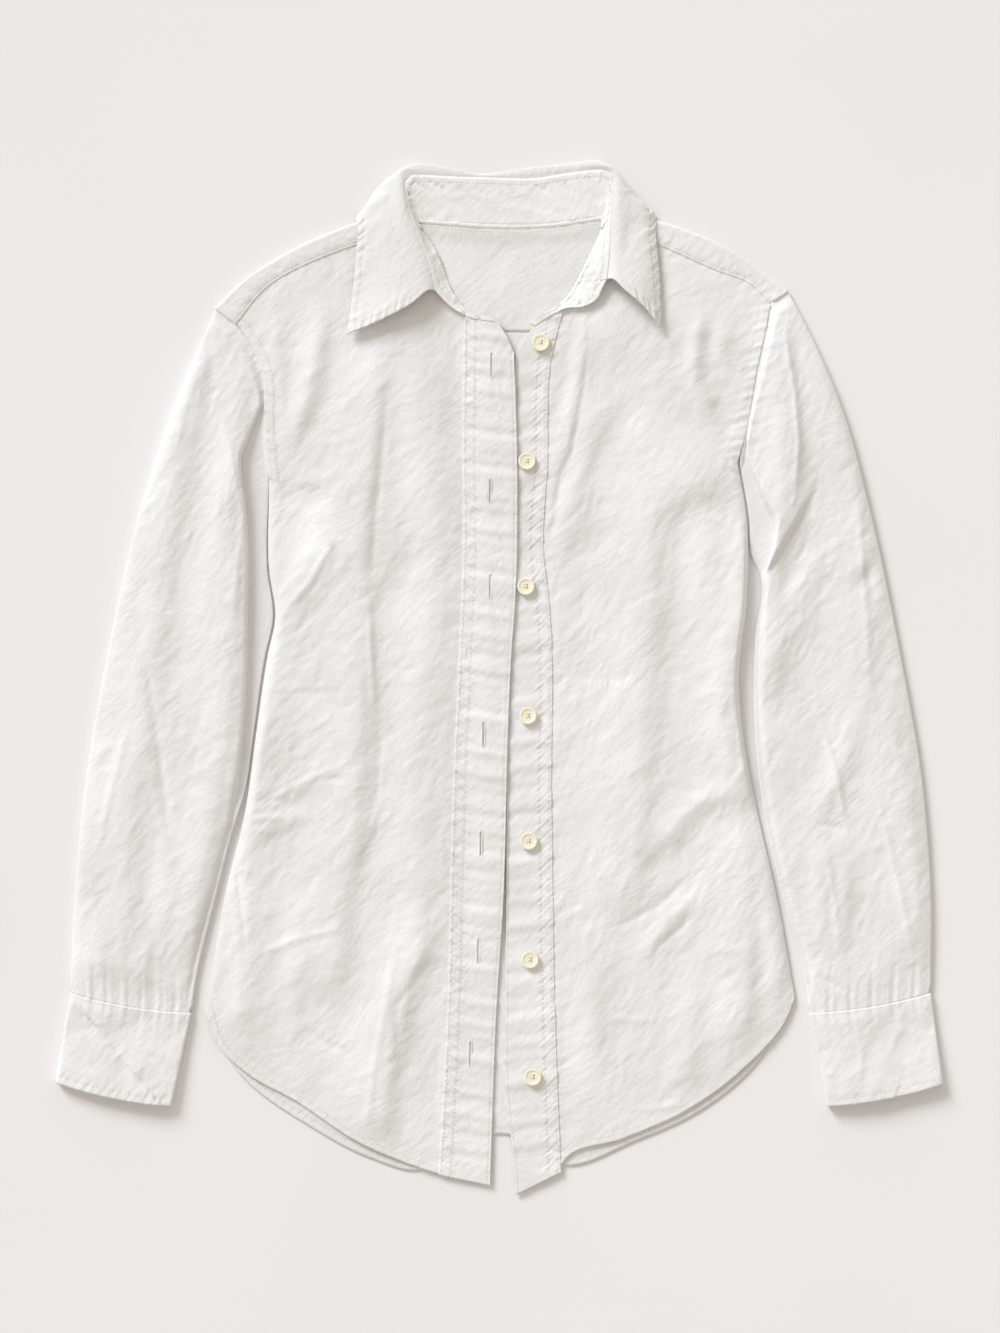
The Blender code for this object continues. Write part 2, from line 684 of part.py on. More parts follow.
for old in list(bpy.data.objects):
    bpy.data.objects.remove(old)
SHIRT = bpy.data.collections.new(NAME)
CUTTERS = bpy.data.collections.new("cutters")
for group in (SHIRT, CUTTERS):
    bpy.context.scene.collection.children.link(group)
COTTON = principled("cotton", (0.92, 0.915, 0.90), 0.85)
BUTTON = principled("button", (0.86, 0.80, 0.62), 0.35)

make_back()
make_fronts()
make_bands()
make_yoke()
make_collar()
make_stand()
make_sleeve("sleeve_right", -1, EDGES["right_cap_front"], EDGES["right_cap_back"])
make_sleeve("sleeve_left", 1, EDGES["left_cap_front"], EDGES["left_cap_back"])
for cuff in CUFFS:
    make_cuff(cuff)
for number, button in enumerate(BUTTONS, 1):
    make_button(number, button["x"], button["y"])
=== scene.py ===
# Crumpled white cotton shirt, laid open on its back. Lengths in the tables are millimetres.
# x runs to the wearer's left, y from the hem to the collar and z up from the surface.
import math

import bpy
import numpy as np
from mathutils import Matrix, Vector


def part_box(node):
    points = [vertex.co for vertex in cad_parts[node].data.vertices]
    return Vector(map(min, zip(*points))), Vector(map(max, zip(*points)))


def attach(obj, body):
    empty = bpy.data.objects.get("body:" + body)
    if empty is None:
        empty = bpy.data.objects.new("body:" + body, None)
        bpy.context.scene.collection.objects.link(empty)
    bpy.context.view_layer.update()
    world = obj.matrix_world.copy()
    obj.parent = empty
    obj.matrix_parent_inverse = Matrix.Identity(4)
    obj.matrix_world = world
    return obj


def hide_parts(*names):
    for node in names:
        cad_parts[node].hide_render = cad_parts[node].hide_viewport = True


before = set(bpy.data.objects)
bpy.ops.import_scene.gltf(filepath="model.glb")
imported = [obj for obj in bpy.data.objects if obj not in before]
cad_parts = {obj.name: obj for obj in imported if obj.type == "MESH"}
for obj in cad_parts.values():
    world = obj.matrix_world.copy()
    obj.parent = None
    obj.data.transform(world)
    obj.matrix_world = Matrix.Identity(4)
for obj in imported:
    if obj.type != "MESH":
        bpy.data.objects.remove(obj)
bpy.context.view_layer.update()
mm = 0.001


def say(stage):
    print("shirt:", stage)


# camera, straight above
cameraSetup = {"x": 0.00045, "y": 0.0089, "height": 2.3935, "lens": 86, "sensor": 36, "farthest": 20}
bpy.ops.object.select_all(action="DESELECT")
bpy.ops.object.camera_add(location=(cameraSetup["x"], cameraSetup["y"], cameraSetup["height"]))
camera = bpy.context.object
camera.data.lens = cameraSetup["lens"]
camera.data.sensor_width = cameraSetup["sensor"]
camera.data.clip_end = cameraSetup["farthest"]
bpy.context.scene.camera = camera

# one broad soft light from the upper left, and a warm fill all round
lightSetup = {
    "height": math.radians(27),     # above the floor
    "bearing": math.radians(127),   # from the wearer's left, round towards the collar
    "spread": math.radians(24),
    "power": 2.9,
    "colour": (0.87, 0.92, 1.0),
    "fill": (1.0, 0.94, 0.872),
    "fillStrength": 0.63,
}
bpy.ops.object.light_add(type="SUN", location=(-2, 2, 3))
keyLight = bpy.context.object
keyLight.name = "window_light"
keyLight.rotation_euler = (
    math.pi / 2 - lightSetup["height"], 0, lightSetup["bearing"] + math.pi / 2,
)
keyLight.data.angle = lightSetup["spread"]
keyLight.data.energy = lightSetup["power"]
keyLight.data.color = lightSetup["colour"]
world = bpy.data.worlds.new("soft_room")
bpy.context.scene.world = world
world.use_nodes = True
sky = world.node_tree.nodes["Background"]
sky.inputs["Color"].default_value = (*lightSetup["fill"], 1)
sky.inputs["Strength"].default_value = lightSetup["fillStrength"]
bpy.context.scene.view_settings.view_transform = "Standard"


# materials
def addNode(tree, kind, links=(), **values):
    node = tree.nodes.new(kind)
    for key, value in values.items():
        if key in node.inputs:
            node.inputs[key].default_value = value
        else:
            setattr(node, key, value)
    for socket, source in dict(links).items():
        tree.links.new(source, node.inputs[socket])
    return node


def newLook(name):
    look = bpy.data.materials.new(name)
    look.use_nodes = True
    tree = look.node_tree
    return look, tree, tree.nodes["Principled BSDF"]


def noiseAt(tree, vector, scale, detail=2.0, wanted="Fac"):
    return addNode(
        tree, "ShaderNodeTexNoise", {"Vector": vector}, Scale=scale, Detail=detail,
    ).outputs[wanted]


def blendColours(tree, factor, look):
    ramp = addNode(tree, "ShaderNodeValToRGB", {"Fac": factor})
    for element, position, colour in zip(ramp.color_ramp.elements, (0.3, 0.7), (look["dark"], look["light"])):
        element.position = position
        element.color = (*colour, 1)
    return ramp.outputs["Color"]


def combine(tree, operation, first, second):
    # second is a number or another node's output
    node = addNode(tree, "ShaderNodeMath", {0: first}, operation=operation)
    if isinstance(second, float):
        node.inputs[1].default_value = second
    else:
        tree.links.new(second, node.inputs[1])
    return node.outputs[0]


def addBump(tree, height, distance, strength, previous=None):
    links = {"Height": height}
    if previous is not None:
        links["Normal"] = previous
    return addNode(
        tree, "ShaderNodeBump", links, Distance=distance, Strength=strength,
    ).outputs["Normal"]


def roughen(tree, shader, noise, low, high):
    spread = addNode(tree, "ShaderNodeMapRange", {"Value": noise})
    spread.inputs["To Min"].default_value = low
    spread.inputs["To Max"].default_value = high
    tree.links.new(spread.outputs["Result"], shader.inputs["Roughness"])


cottonLook = {
    "dark": (0.79, 0.778, 0.76),
    "light": (0.86, 0.855, 0.845),
    # painted shade: the warm brown that stitch grooves and buttonhole slits are darkened towards
    "groove": (0.60, 0.56, 0.50),
    "patches": 16,        # noise scale of the slow changes of tone
    "roughness": (0.80, 0.92),
    "sheen": 0.12,
    "sheenRoughness": 0.5,
    "specular": 0.25,
    "threads": 2300,      # yarns in a metre
    "yarnWobble": {"X": 1.7, "Y": 2.3},
    "weave": 0.00008,     # height of the yarns, in metres
    "crinkle": 0.0005,    # height of the dry creases
    "grain": 420,
    "grainShare": 0.3,    # of the creases' height
    "wander": 0.03,
    "wanderScale": 14,
    "strokes": ((-0.85, 260, 2.8, 1.0), (0.5, 330, 2.4, 0.75)),    # turn, scale, length, share
}


def makeCotton(name, look):
    # plain weave, dry creases of two sizes, and painted shade in each stitch groove and buttonhole slit where
    # the attribute says so
    cloth, tree, shader = newLook(name)
    coordinates = addNode(tree, "ShaderNodeTexCoord")
    place = coordinates.outputs["Object"]
    surface = coordinates.outputs["UV"]
    colour = blendColours(tree, noiseAt(tree, place, look["patches"], 3.0), look)
    # the groove attribute mixes painted shade into the colour
    groove = addNode(tree, "ShaderNodeAttribute", attribute_name="groove").outputs["Fac"]
    grooveShaded = addNode(tree, "ShaderNodeMix", {"Factor": groove}, data_type="RGBA")
    tree.links.new(colour, grooveShaded.inputs[6])      # 6 and 7 are its two colours
    grooveShaded.inputs[7].default_value = (*look["groove"], 1)
    tree.links.new(grooveShaded.outputs[2], shader.inputs["Base Color"])
    # a wave has 20 scale / 2 pi bands in a metre
    warp, weft = [
        addNode(
            tree, "ShaderNodeTexWave", {"Vector": surface}, bands_direction=direction,
            Scale=look["threads"] * math.pi / 10, Distortion=wobble,
        ).outputs["Fac"]
        for direction, wobble in look["yarnWobble"].items()
    ]
    weave = combine(tree, "MAXIMUM", warp, weft)
    # dry creases, drawn out along slants that wander
    bent = addNode(tree, "ShaderNodeVectorMath", operation="MULTIPLY_ADD")
    tree.links.new(noiseAt(tree, place, look["wanderScale"], 1.0, wanted="Color"), bent.inputs[0])
    bent.inputs[1].default_value = (look["wander"], look["wander"], 0)
    tree.links.new(place, bent.inputs[2])
    slants = []
    for turn, scale, drawn, share in look["strokes"]:
        mapped = addNode(
            tree, "ShaderNodeMapping", {"Vector": bent.outputs["Vector"]}, vector_type="TEXTURE",
            Rotation=(0, 0, turn), Scale=(1, drawn, 1),
        )
        strokes = noiseAt(tree, mapped.outputs["Vector"], scale, 1.5)
        slants.append(combine(tree, "MULTIPLY", strokes, share))
    grain = noiseAt(tree, place, look["grain"], 3.0)
    normal = addBump(tree, combine(tree, "ADD", *slants), look["crinkle"], 0.9)
    normal = addBump(tree, grain, look["crinkle"] * look["grainShare"], 0.6, normal)
    normal = addBump(tree, weave, look["weave"], 0.5, normal)
    tree.links.new(normal, shader.inputs["Normal"])
    roughen(tree, shader, grain, *look["roughness"])
    shader.inputs["Sheen Weight"].default_value = look["sheen"]
    shader.inputs["Sheen Roughness"].default_value = look["sheenRoughness"]
    shader.inputs["Specular IOR Level"].default_value = look["specular"]
    return cloth


cotton = makeCotton("white_cotton", cottonLook)
# the stand's inner face, in a lighter copy of the cotton: painted light that makes up for the shade on that
# face, which slopes away from the lamp
standLitLook = {**cottonLook, "dark": (0.85, 0.838, 0.82), "light": (0.915, 0.91, 0.90)}
standLitCotton = makeCotton("stand_cotton_painted_light", standLitLook)

floorLook = {
    "size": 7,            # metres
    "drop": 0.0004,       # below the shirt
    "dark": (0.83, 0.817, 0.806),
    "light": (0.85, 0.838, 0.828),
    "patches": 3,
    "roughness": 0.95,
}


def makeFloor(look):
    bpy.ops.object.select_all(action="DESELECT")
    bpy.ops.mesh.primitive_plane_add(size=look["size"], location=(0, 0, -look["drop"]))
    floor = bpy.context.object
    floor.name = "pale_floor"
    paint, tree, shader = newLook("pale_paper")
    place = addNode(tree, "ShaderNodeTexCoord").outputs["Object"]
    tone = blendColours(tree, noiseAt(tree, place, look["patches"]), look)
    tree.links.new(tone, shader.inputs["Base Color"])
    shader.inputs["Roughness"].default_value = look["roughness"]
    floor.data.materials.append(paint)


makeFloor(floorLook)
say("camera, light and floor")


# curves and soft shapes, all on arrays of millimetres
def hermite(s, start, startSlope, end, endSlope):
    return (
        (2 * s**3 - 3 * s**2 + 1) * start
        + (s**3 - 2 * s**2 + s) * startSlope
        + (3 * s**2 - 2 * s**3) * end
        + (s**3 - s**2) * endSlope
    )


def curveThrough(points):
    # a smooth curve, as a function from a share of its length to a place
    knots = np.array(points, float)
    steps = np.linalg.norm(np.diff(knots, axis=0), axis=1)
    at = np.concatenate([[0.0], np.cumsum(steps)]) / steps.sum()
    slopes = np.gradient(knots, at, axis=0)

    def place(share):
        share = np.clip(np.asarray(share, float), 0.0, 1.0)
        i = np.clip(np.searchsorted(at, share, side="right") - 1, 0, len(knots) - 2)
        width = (at[i + 1] - at[i])[..., None]
        s = (share - at[i])[..., None] / width
        return hermite(s, knots[i], width * slopes[i], knots[i + 1], width * slopes[i + 1])

    return place


def smoothRows(table, shares):
    # a table's columns, smoothly between its rows
    values = np.array(table, float)
    position = shares * (len(values) - 1)
    i = np.minimum(position.astype(int), len(values) - 2)
    before, after = values[np.maximum(i - 1, 0)], values[np.minimum(i + 2, len(values) - 1)]
    start, end = values[i], values[i + 1]
    return hermite((position - i)[:, None], start, (end - before) / 2, end, (after - start) / 2)


def straight(start, end):
    a, b = np.array(start, float), np.array(end, float)
    return lambda share: a + (b - a) * np.asarray(share, float)[..., None]


def shifted(edge, x, y=0.0):
    return lambda share: edge(share) + np.array([x, y])


def joined(first, second, shareOfFirst):
    # two edges in a row, as one
    def place(share):
        share = np.asarray(share, float)
        one = first(share / shareOfFirst)
        other = second((share - shareOfFirst) / (1 - shareOfFirst))
        return np.where((share < shareOfFirst)[..., None], one, other)

    return place


def patchOf(bottom, top, left, right):
    # fills the space inside four edges
    def place(u, v):
        c = [bottom(0.0), bottom(1.0), top(0.0), top(1.0)]
        u1, v1 = u[..., None], v[..., None]
        return (
            (1 - v1) * bottom(u) + v1 * top(u) + (1 - u1) * left(v) + u1 * right(v)
            - (1 - u1) * (1 - v1) * c[0] - u1 * (1 - v1) * c[1]
            - (1 - u1) * v1 * c[2] - u1 * v1 * c[3]
        )

    return place


def ease(value):
    value = np.clip(value, 0.0, 1.0)
    return value * value * (3 - 2 * value)


def roundness(value):
    return np.sqrt(1 - (1 - np.clip(value, 0.0, 1.0)) ** 2)


def alongAndAway(points, x, y):
    # distance along a line to the nearest place on it, distance from it, and whether on its left
    points = np.asarray(points, float)
    best = np.full(x.shape, 1e9)
    along = np.zeros(x.shape)
    onLeft = np.zeros(x.shape, bool)
    walked = 0.0
    for a, b in zip(points[:-1], points[1:]):
        run = b - a
        length = math.hypot(*run)
        t = np.clip(((x - a[0]) * run[0] + (y - a[1]) * run[1]) / length**2, 0, 1)
        away = np.hypot(x - a[0] - t * run[0], y - a[1] - t * run[1])
        nearer = away < best
        best = np.where(nearer, away, best)
        along = np.where(nearer, walked + t * length, along)
        onLeft = np.where(nearer, (y - a[1]) * run[0] > (x - a[0]) * run[1], onLeft)
        walked += length
    return along, best, onLeft


def outward(points):
    # unit normals of a grid of points
    normal = np.cross(np.gradient(points, axis=1), np.gradient(points, axis=0))
    return normal / np.maximum(np.linalg.norm(normal, axis=-1, keepdims=True), 1e-9)


def walked(points, axis):
    # distance walked over the grid from its start along that axis
    steps = np.linalg.norm(np.diff(points, axis=axis), axis=-1)
    zero = np.zeros_like(np.take(steps, [0], axis=axis))
    return np.concatenate([zero, np.cumsum(steps, axis=axis)], axis=axis)


def sampled(edge, count=70):
    return edge(np.linspace(0, 1, count + 1))


def smoothNoise(x, y, size, seed, stretch=1.0, angle=0.0):
    # soft random hills from -1 to 1, with one hill in each size by size*stretch cell
    cells = 96
    c, s = math.cos(angle), math.sin(angle)
    across, along = (x * c + y * s) / size, (y * c - x * s) / (size * stretch)
    lattice = np.random.default_rng(seed).uniform(-1, 1, (cells + 1, cells + 1))
    i, j = np.floor(across).astype(int), np.floor(along).astype(int)
    a, b = ease(across - i), ease(along - j)
    i, j = i % cells, j % cells
    low = lattice[i, j] * (1 - a) + lattice[i + 1, j] * a
    high = lattice[i, j + 1] * (1 - a) + lattice[i + 1, j + 1] * a
    return low * (1 - b) + high * b


def ridges(x, y, size, seed, stretch=1.0, angle=0.0):
    # crossing crest lines, from about -1 in the hollows to 1 on the crests
    warpX = x + 0.45 * size * smoothNoise(x, y, size * 1.4, seed + 50)
    warpY = y + 0.45 * size * smoothNoise(x, y, size * 1.4, seed + 51)
    return 1 - 2.6 * np.abs(smoothNoise(warpX, warpY, size, seed, stretch, angle))


def ripples(along, spacing, seed):
    # uneven waves along a seam, from about -1 to 1
    draw = np.random.default_rng(seed)
    total = np.zeros_like(along)
    for factor, part in ((1.0, 0.5), (0.63, 0.3), (1.71, 0.35), (0.41, 0.18)):
        phase = draw.uniform(0, 2 * math.pi)
        drift = 0.9 * np.sin(along / (spacing * 4.3) + draw.uniform(0, 6))
        total += part * np.sin(2 * math.pi * along / (spacing * factor) + phase + drift)
    return total


def hill(distance, width):
    return np.exp(-((distance / width) ** 2))


def puckers(line, x, y, seed, depth, spacing, reach, slant=0.35, awayFrom=0.0):
    # the little waves that sewing draws up across a seam, dying out away from it
    along, away = alongAndAway(line, x, y)[:2]
    near = np.exp(-((np.maximum(away - awayFrom, 0) / reach) ** 1.4))
    return depth * near * ripples(along + slant * away, spacing, seed)


def creaseHeight(rows, x, y):
    # each row is (height, half width, crispness 0 to 1, points); ends fade out
    total = np.zeros(x.shape)
    for height, width, crisp, points in rows:
        along, away = alongAndAway(points, x, y)[:2]
        length = sum(math.dist(a, b) for a, b in zip(points, points[1:]))
        taper = 0.28 * length
        fade = ease((along + 1) / taper) * ease((length + 1 - along) / taper)
        soft = np.exp(-((away / width) ** 2) / 2)
        sharp = np.exp(-(np.sqrt(away**2 + 0.3) - 0.55) / width)
        total += height * fade * (crisp * sharp + (1 - crisp) * soft)
    return total


def scatteredCreases(x, y, setup):
    # seeded short creases, fanning slowly over the panel in the directions that its folds run
    draw = np.random.default_rng(setup["seed"])
    low, high = (x.min(), y.min()), (x.max(), y.max())
    flatX, flatY, total = x.ravel(), y.ravel(), np.zeros(x.size)
    for number in range(setup["count"]):
        centre = draw.uniform(low, high)
        fan = smoothNoise(np.array([centre[0]]), np.array([centre[1]]), 80, setup["seed"] + 9)[0]
        lean = setup["leans"][number % len(setup["leans"])] + 30 * fan
        lean = math.radians(draw.normal(lean, setup["spread"]))
        length = draw.uniform(*setup["length"])
        width = draw.uniform(*setup["width"])
        height = draw.uniform(*setup["height"]) * (1 if draw.random() < 0.6 else -1)
        bend = draw.uniform(-0.07, 0.07)
        reach = length / 2 + 4 * width
        near = np.flatnonzero((np.abs(flatX - centre[0]) < reach) & (np.abs(flatY - centre[1]) < reach))
        dx, dy = flatX[near] - centre[0], flatY[near] - centre[1]
        along = dx * math.cos(lean) + dy * math.sin(lean)
        away = dy * math.cos(lean) - dx * math.sin(lean) - bend * (along**2) / length
        taper = np.clip(1 - (2 * along / length) ** 2, 0, 1) ** 2
        total[near] += height * taper * np.exp(-(np.sqrt(away**2 + 0.4) - 0.63) / width)
    return total.reshape(x.shape)


# a grid laid over an array of outer points, given its wall below, with the weave's own map
def makeCloth(name, points, wall, flatMap, replaced, groove=None, closed=False, offset=-1.0, look=cotton):
    rows, columns = points.shape[0] - 1, points.shape[1] - 1
    bpy.ops.object.select_all(action="DESELECT")
    bpy.ops.mesh.primitive_grid_add(x_subdivisions=columns, y_subdivisions=rows, size=1)
    piece = bpy.context.object
    piece.name = piece.data.name = name
    mesh = piece.data
    start = np.empty(len(mesh.vertices) * 3)
    mesh.vertices.foreach_get("co", start)
    start = start.reshape(-1, 3)
    column = np.rint((start[:, 0] + 0.5) * columns).astype(int)
    row = np.rint((start[:, 1] + 0.5) * rows).astype(int)
    mesh.vertices.foreach_set("co", (points[row, column] * mm).ravel())
    # groove is a mask of painted shade, kept as an attribute that the cotton darkens by
    if groove is not None:
        shade = mesh.attributes.new("groove", "FLOAT", "POINT")
        shade.data.foreach_set("value", np.clip(groove, 0, 1)[row, column].ravel())
    corner = np.empty(len(mesh.loops), int)
    mesh.loops.foreach_get("vertex_index", corner)
    mesh.uv_layers.active.data.foreach_set("uv", (flatMap[row, column] * mm)[corner].ravel())
    mesh.update()
    if closed:
        bpy.ops.object.mode_set(mode="EDIT")
        bpy.ops.mesh.select_all(action="SELECT")
        bpy.ops.mesh.remove_doubles(threshold=0.00002)
        bpy.ops.object.mode_set(mode="OBJECT")
    bpy.ops.object.modifier_add(type="SOLIDIFY")
    thicken = piece.modifiers[-1]
    thicken.thickness = wall * mm
    thicken.offset = offset
    bpy.ops.object.modifier_apply(modifier=thicken.name)
    bpy.ops.object.shade_smooth()
    mesh.materials.append(look)
    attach(piece, "root")
    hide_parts(replaced)
    return piece


# seams and edges from above, as (x, y)
edgeLines = {
    "rightSide": [
        (-221, -249), (-204, -153), (-192, -104), (-183, -42), (-174, 18), (-168.5, 45), (-173, 82),
        (-173, 147),
    ],
    "rightArmhole": [(-173, 147), (-177, 191), (-178, 227), (-189, 253), (-199, 266)],
    "rightHem": [
        (-221, -249), (-212, -275), (-191, -296), (-153, -318), (-110, -347), (-61, -368), (-45, -373),
    ],
    "rightYokeSeam": [(-199, 266), (-177, 293), (-131, 318), (-106, 327), (-68, 339.5)],
    "rightNeckline": [(-68, 339.5), (-48, 317), (-38, 290), (-26, 273)],
    "rightBandSeam": [(-45, -373), (-39, -264), (-34, -79), (-30, 13), (-27, 83), (-27, 198), (-26, 273)],
    "rightBandEdge": [
        (-7, -381), (-2, -247), (3, -166), (7, -25), (9, 17), (12, 59), (13.5, 126), (13, 183),
        (11, 244),
    ],
    "rightBandTop": [(-25.5, 272.5), (-3, 269), (5, 258), (11, 244)],
    "leftSide": [
        (222, -239), (209, -166), (194, -100), (185, -55), (180, 0), (186, 59), (187, 88), (186, 118),
        (179, 162),
    ],
    "leftArmhole": [(179, 162), (185, 183), (194, 233), (200, 261), (204, 282)],
    "leftHem": [(46, -371), (52, -361), (94, -346), (141, -325), (183, -294), (216, -255), (222, -239)],
    "leftYokeSeam": [(81, 344), (119, 327), (164, 307), (189, 297), (204, 282)],
    "leftNeckline": [(48, 277), (60, 296), (67, 310), (75, 328), (81, 344)],
    "leftBandSeam": [
        (46, -371), (42, -267), (39, -92), (37, 59), (33, 93), (36, 162), (39, 241), (48, 277),
    ],
    "leftBandEdge": [
        (12.5, -388), (11, -360), (7, -333), (5, -216), (5, -150), (6, 0), (8, 120), (12, 243),
    ],
    "leftBandTop": [(12, 243), (23, 261), (41, 277), (47.5, 276.5)],
    "backHem": [
        (-221, -249), (-198, -294), (-142, -337), (-96, -361), (-61, -370), (-34, -358), (-6, -343),
        (12, -344), (47, -366), (102, -348), (153, -324), (193, -290), (222, -239),
    ],
    "rightSleeveOuter": [
        (-215.4, 277), (-243, 209), (-270, 126), (-292, 29), (-312, -88), (-321, -205), (-322, -235),
    ],
    "rightSleeveInner": [
        (-175.5, 147), (-174.8, 82), (-170, 45), (-176, 16), (-184.5, -42), (-190, -80), (-203, -125),
        (-213, -165), (-228, -229), (-231, -250),
    ],
    "rightSleeveFold": [
        (-184, 214), (-192, 186), (-194, 164), (-190, 125), (-189, 40), (-192, -32), (-198, -87),
        (-206, -128), (-217, -165), (-232, -229), (-235, -250),
    ],
    "leftSleeveOuter": [
        (219.2, 291), (234, 261), (258, 202), (279, 124), (302, 14), (316, -65), (324, -159),
        (324, -235),
    ],
    "leftSleeveInner": [
        (183, 161.5), (188.7, 120), (190, 92), (196, 78), (192, 30), (191, -16), (195, -77), (211, -159),
        (230, -229), (232, -250),
    ],
    "leftSleeveFold": [
        (186, 166), (200, 132), (207, 118), (206, 102), (200, 80), (197, 50), (195, -16), (199, -77),
        (215, -159), (234, -229), (236, -250),
    ],
    "rightShoulder": [(-214, 278), (-191, 300), (-168, 315), (-139, 330), (-105, 343), (-84, 349)],
    "leftShoulder": [(97, 350), (115, 345), (164, 327), (189, 312), (205, 300), (217, 291)],
    "rightCapFront": [
        (-215.4, 277), (-201, 266.5), (-190.5, 253), (-180, 227), (-178.5, 191), (-175.5, 147),
    ],
    "rightCapBack": [(-215.4, 277), (-208.5, 269), (-202, 259), (-189, 204), (-175.5, 147)],
    "leftCapFront": [(219.2, 291), (207, 282.5), (202, 261), (196, 233), (187.5, 190), (183, 161.5)],
    "leftCapBack": [(219.2, 291), (214, 276), (206.5, 260), (195, 212), (183, 161.5)],
    "neckSeam": [(-64, 342), (-37, 339.5), (0, 337), (40, 338), (79, 344)],
}

edges = {name: curveThrough(points) for name, points in edgeLines.items()}

# heights that the layers share
layers = {
    "backTop": 1.5,       # the fronts lie no lower than this
    "overBand": 2.3,      # the buttonhole band lies this much higher over the button band
    "rise": 0.7,
    "folds": 1.1,         # share of the heights listed below
    "edgeRoll": {"right": 8, "left": 4.5},
    "foldReach": 3.2,     # in half widths
    "foldTaper": 45,      # the longest that a fold takes to rise from its end
    "hemFall": 30,
    "hemShare": 0.35,
    "press": 0.55,        # its side edges lie this much lower
    "cloth": 0.7,
    "band": 1.15,
}

# main folds: height, half width right of its run and left of it, crest points
mainFolds = [
    # right front
    (3.8, 9, 17, [
        (-128, 131), (-128, 113), (-139, 91), (-150, 72), (-157, 52), (-162, 30), (-166, 5), (-172, -25),
        (-179, -58), (-184, -92), (-187, -140), (-189, -175), (-191, -215), (-194, -252), (-197, -290),
    ]),
    (3.6, 22, 8.5, [
        (-94, 262), (-95, 200), (-99, 160), (-104, 120), (-105, 60), (-106, 0), (-108, -60), (-112, -125),
        (-119, -170), (-123, -212), (-122, -255),
    ]),
    (2.3, 12, 13, [
        (-62, 262), (-58, 200), (-54, 150), (-49, 105), (-48, 60), (-56, 15), (-60, -30), (-60, -110),
        (-56, -165), (-52, -190),
    ]),
    (3.2, 7, 6, [(-131, 292), (-135, 262), (-141, 222), (-152, 190), (-160, 160)]),
    (1.6, 6, 6, [(-165, 282), (-168, 250), (-166, 215), (-168, 180)]),
    (2.6, 20, 13, [(-104, 243), (-77, 260), (-50, 278)]),
    (-2.2, 6, 6, [(-176, 142), (-150, 137), (-122, 132)]),
    (2.2, 5, 5, [(-190, -104), (-165, -86), (-142, -75), (-114, -62)]),
    (1.6, 5, 5, [(-192, -122), (-165, -108), (-135, -100)]),
    (-1.8, 7, 6, [(-58, 112), (-68, 92), (-80, 62), (-84, 30)]),
    (1.4, 6, 6, [(-160, -8), (-140, -22), (-118, -50), (-106, -76)]),
    (5.0, 16, 8, [
        (-60, -160), (-61, -200), (-74, -240), (-83, -280), (-88, -320), (-91, -372),
    ]),
    (1.6, 8, 6, [(-152, -150), (-150, -200), (-155, -240), (-150, -285)]),
    (-1.5, 5, 5, [(-86, -112), (-98, -134), (-106, -150)]),
    # left front
    (2.6, 20, 13, [(58, 244), (82, 264), (108, 288)]),
    (4.2, 22, 12, [
        (188, 152), (160, 149), (136, 143), (118, 122), (113, 95), (112, 55), (106, 18), (104, -25),
        (104, -62), (101, -105), (98, -150), (98, -190),
    ]),
    (3.2, 11, 9, [(176, 128), (161, 116), (156, 88), (160, 45), (162, 0), (162, -45), (168, -84)]),
    (3.0, 6, 6, [(66, 275), (60, 225), (52, 190), (42, 158), (36, 130)]),
    (2.4, 8, 9, [(76, 232), (68, 180), (58, 140), (48, 100)]),
    (-1.6, 6, 6, [(84, 116), (66, 98), (46, 82)]),
    (-1.6, 6, 6, [(108, 212), (88, 186), (72, 158), (66, 135)]),
    (2.6, 5, 5, [(156, 290), (148, 255), (147, 225), (158, 200), (180, 186)]),
    (2.0, 5, 5, [(171, 275), (165, 240), (166, 215)]),
    (2.4, 6, 7, [(110, -152), (124, -126), (138, -104), (152, -92), (172, -87), (196, -88)]),
    (1.8, 5, 6, [(102, -226), (110, -212), (122, -190), (140, -172), (168, -158)]),
    (-1.4, 5, 5, [(100, -150), (116, -140), (132, -116)]),
    (3.0, 15, 7, [(176, -96), (184, -140), (184, -200), (182, -250), (172, -295)]),
    (6.2, 10, 6, [(183, 130), (182, 88), (181, 55), (175, 5), (176, -35), (181, -70), (192, -110)]),
    (2.6, 6, 6, [(193, -120), (203, -185), (210, -232), (204, -272)]),
    (1.8, 8, 8, [(150, -200), (142, -250), (138, -300), (132, -335)]),
    (1.5, 8, 8, [(70, -200), (68, -260), (78, -330)]),
    # right sleeve
    (3.5, 13, 11, [
        (-221, 268), (-234, 215), (-243, 150), (-250, 100), (-256, 50), (-262, 5), (-267, -40),
        (-275, -80), (-281, -120), (-280, -170), (-284, -210), (-294, -250),
    ]),
    (2.6, 12, 7, [
        (-196, 250), (-200, 200), (-203, 120), (-201, 40), (-206, -30), (-213, -90), (-225, -150),
        (-242, -225),
    ]),
    (1.8, 6, 6, [(-296, -165), (-302, -205), (-309, -245)]),
    (2.2, 7, 5, [(-262, -190), (-268, -222), (-280, -262)]),
    (1.6, 4, 5, [(-262, -214), (-250, -236), (-240, -262)]),
    (1.5, 6, 6, [(-255, -90), (-250, -150), (-258, -210)]),
    # left sleeve
    (3.3, 9, 8, [
        (203, 290), (209, 245), (213, 210), (217, 172), (214, 135), (207, 102), (203, 60), (202, 15),
        (203, -30),
    ]),
    (2.2, 8, 9, [(236, 96), (226, 60), (212, 20), (206, -20)]),
    (2.2, 17, 11, [
        (240, 262), (252, 215), (260, 170), (267, 120), (270, 60), (271, 0), (269, -50),
    ]),
    (2.6, 7, 7, [(266, -12), (258, -58), (246, -86), (226, -112)]),
    (2.0, 6, 5, [(238, -112), (242, -160), (240, -215)]),
    (2.0, 6, 5, [(256, -116), (258, -165), (254, -220)]),
    (2.6, 16, 8, [(284, 0), (298, -70), (308, -140), (309, -228)]),
    (-1.5, 5, 5, [(284, 100), (277, 78), (270, 58)]),
]
